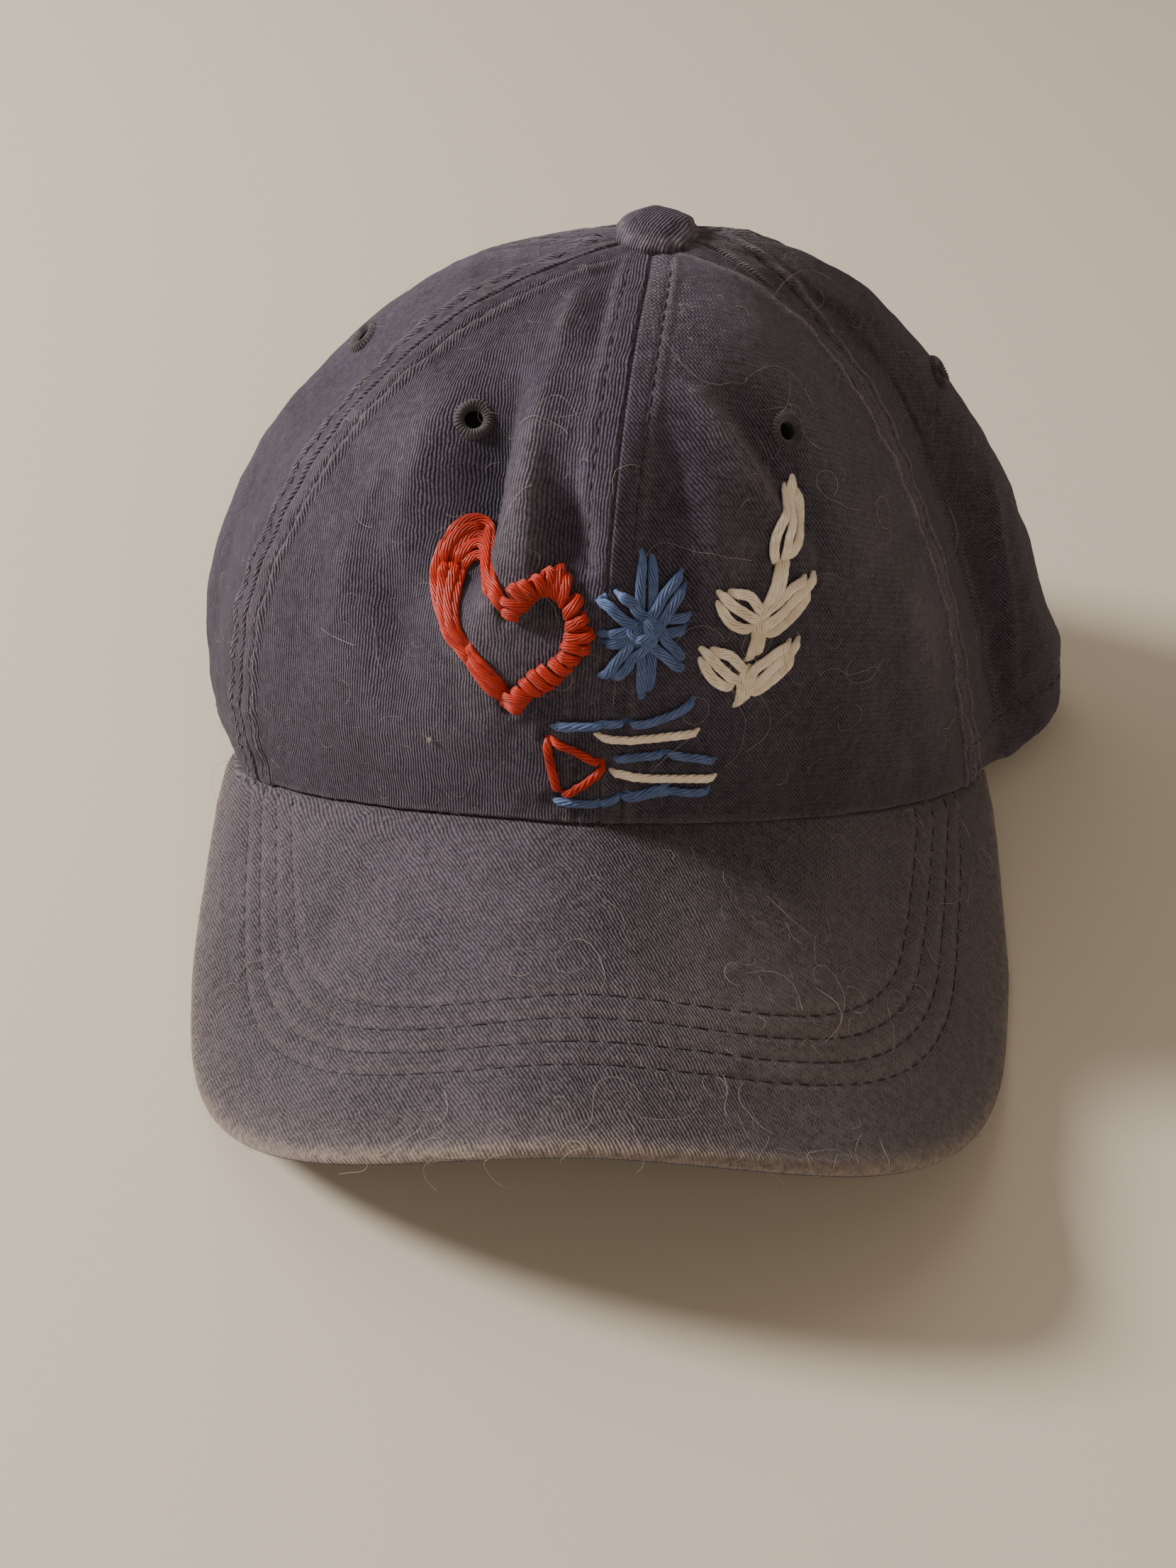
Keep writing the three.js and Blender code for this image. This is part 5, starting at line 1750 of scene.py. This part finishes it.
drill_object = make_drills()
for made in made_panels.values():
    cut = made["piece"].modifiers.new("drill", "BOOLEAN")
    cut.operation = "DIFFERENCE"
    cut.solver = "MANIFOLD"
    cut.object = drill_object
    bpy.context.view_layer.update()
    drilled = made["piece"].evaluated_get(bpy.context.evaluated_depsgraph_get())
    mesh = bpy.data.meshes.new_from_object(drilled)
    made["piece"].modifiers.remove(cut)
    cloth = made["piece"].data.materials[0]
    made["piece"].data = mesh
    mesh.materials.clear()
    mesh.materials.append(cloth)
    mesh.polygons.foreach_set("material_index", np.zeros(len(mesh.polygons), np.int32))
bpy.data.objects.remove(drill_object)


# Button

def make_button():
    columns, rows = BUTTON_GRID
    share = np.linspace(0, 1, rows)[:, None]
    turn = np.linspace(0, 2 * math.pi, columns, endpoint=False)[None, :]
    radius = BUTTON_RADIUS * np.sin(share * math.pi * 0.62) * (1 + 0.014 * np.sin(turn * 3 + 1))
    dome = BUTTON_HEIGHT * (0.5 + 0.5 * np.cos(share * math.pi * 0.98))
    height = dome - 0.9 * smooth((share - 0.75) / 0.25)
    rim = smooth((share - 0.40) / 0.45)
    gathers = turn * BUTTON_GATHERS
    radius = radius + rim * (0.20 * np.sin(gathers) + 0.14 * np.sin(turn * 7 + 2))
    height = height + 0.12 * rim * np.sin(gathers + 1.2)
    points = np.stack([
        radius * np.cos(turn) + APEX_RIGHT,
        radius * np.sin(turn) + APEX_BACK,
        height + CROWN_HEIGHT + SEAT_GAP + 0 * turn,
    ], axis=-1)
    lumps = 0.16 * soft_waves(points, shortest=3.5, longest=8, count=14, seed=51)
    points[..., 2] += lumps * smooth((1 - share) / 0.3)
    ring = points[1:].reshape(-1, 3)
    top, foot = len(ring), len(ring) + 1
    vertices = np.vstack([ring, points[0].mean(0), points[-1].mean(0)])
    faces = []
    for row in range(rows - 2):
        for column in range(columns):
            k = (column + 1) % columns
            faces.append((row * columns + column, (row + 1) * columns + column,
                          (row + 1) * columns + k, row * columns + k))
    last = (rows - 2) * columns
    for column in range(columns):
        k = (column + 1) % columns
        faces.append((top, column, k))
        faces.append((foot, last + k, last + column))
    reach = np.hypot(vertices[:, 0] - APEX_RIGHT, vertices[:, 1] - APEX_BACK) / BUTTON_RADIUS
    uv = vertices[:, :2]
    return mesh_object("button_cloth", vertices + ORIGIN, faces, small_cloth, uv,
                       dict(wear_and_painted_light=0.5 * bell(reach - 0.86, 0.12)))


button = make_button()


# Attach, floor, light and camera come last

for panel in PANELS:
    piece = made_panels[panel["name"]]["piece"]
    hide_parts(panel["name"])
    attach(piece, "root")
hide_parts("brim")
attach(made_brim["piece"], "root")
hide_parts("top_button")
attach(button, "root")
thread_pieces = [seam_stitches, brim_stitches, strap_stitches, eyelet_rings, eyelet_stitches]
for piece in thread_pieces + floss_pieces + lint_pieces:
    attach(piece, "root")
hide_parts(*(eyelet["name"] for eyelet in EYELETS))
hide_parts("rear_strap")
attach(strap, "root")
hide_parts("strap_buckle")
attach(slide, "root")


# In metres from here on. The floor lies a little under the cap
FLOOR_HALF_SIZE = 12.0
FLOOR_HEIGHT = -0.0002
LIGHTS = [
    dict(name="key", place=(-1.20, 0.12, 0.79), target=(0, 0, 0.06), size=0.30, power=34.5,
         color=(1.0, 0.92, 0.83)),
    dict(name="fill", place=(0.40, -1.20, 0.80), target=(0, 0, 0.05), size=1.2, power=6.0,
         color=(1.0, 0.78, 0.58)),
    dict(name="top", place=(-0.50, 0.35, 1.2), target=(0, 0, 0.05), size=1.0, power=3.4,
         color=(1.0, 0.88, 0.76)),
]
WORLD_COLOR = (1.0, 0.84, 0.65, 1)
WORLD_STRENGTH = 0.26


def make_floor():
    mesh = bpy.data.meshes.new("floor")
    corners = [(sx * FLOOR_HALF_SIZE, sy * FLOOR_HALF_SIZE, FLOOR_HEIGHT)
               for sx, sy in [(-1, -1), (1, -1), (1, 1), (-1, 1)]]
    mesh.from_pydata(corners, [], [(0, 1, 2, 3)])
    material, _, shader = new_material("pale_floor")
    shader.inputs["Base Color"].default_value = (0.60, 0.56, 0.49, 1)
    shader.inputs["Roughness"].default_value = 0.9
    shader.inputs["Specular IOR Level"].default_value = 0.2
    mesh.materials.append(material)
    floor = bpy.data.objects.new("floor", mesh)
    bpy.context.scene.collection.objects.link(floor)


def add_light(name, place, target, size, power, color):
    data = bpy.data.lights.new(name, "AREA")
    data.shape = "DISK"
    data.size = size
    data.energy = power
    data.color = color
    light = bpy.data.objects.new(name, data)
    light.location = place
    light.rotation_euler = (Vector(target) - Vector(place)).to_track_quat("-Z", "Y").to_euler()
    bpy.context.scene.collection.objects.link(light)


def make_lights():
    for light in LIGHTS:
        add_light(**light)
    world = bpy.data.worlds.new("studio")
    world.use_nodes = True
    background = world.node_tree.nodes["Background"]
    background.inputs["Color"].default_value = WORLD_COLOR
    background.inputs["Strength"].default_value = WORLD_STRENGTH
    bpy.context.scene.world = world


# The camera is 0.53 m from the cap and looks down at 42 degrees
CAMERA_PLACE = (-0.0008, -0.3784, 0.3700)
CAMERA_FORWARD = (-0.0216, 0.7416, -0.6705)
CAMERA_UP = (-0.0211, 0.6701, 0.7419)
CAMERA_LENS = 53.9


def make_camera():
    data = bpy.data.cameras.new("camera")
    data.sensor_fit = "AUTO"
    data.sensor_width = 36.0
    data.lens = CAMERA_LENS
    camera = bpy.data.objects.new("camera", data)
    forward = Vector(CAMERA_FORWARD).normalized()
    right = forward.cross(Vector(CAMERA_UP)).normalized()
    up = right.cross(forward)
    turn = Matrix((right, up, -forward)).transposed().to_4x4()
    camera.matrix_world = Matrix.Translation(CAMERA_PLACE) @ turn
    bpy.context.scene.collection.objects.link(camera)
    bpy.context.scene.camera = camera


make_floor()
make_lights()
make_camera()
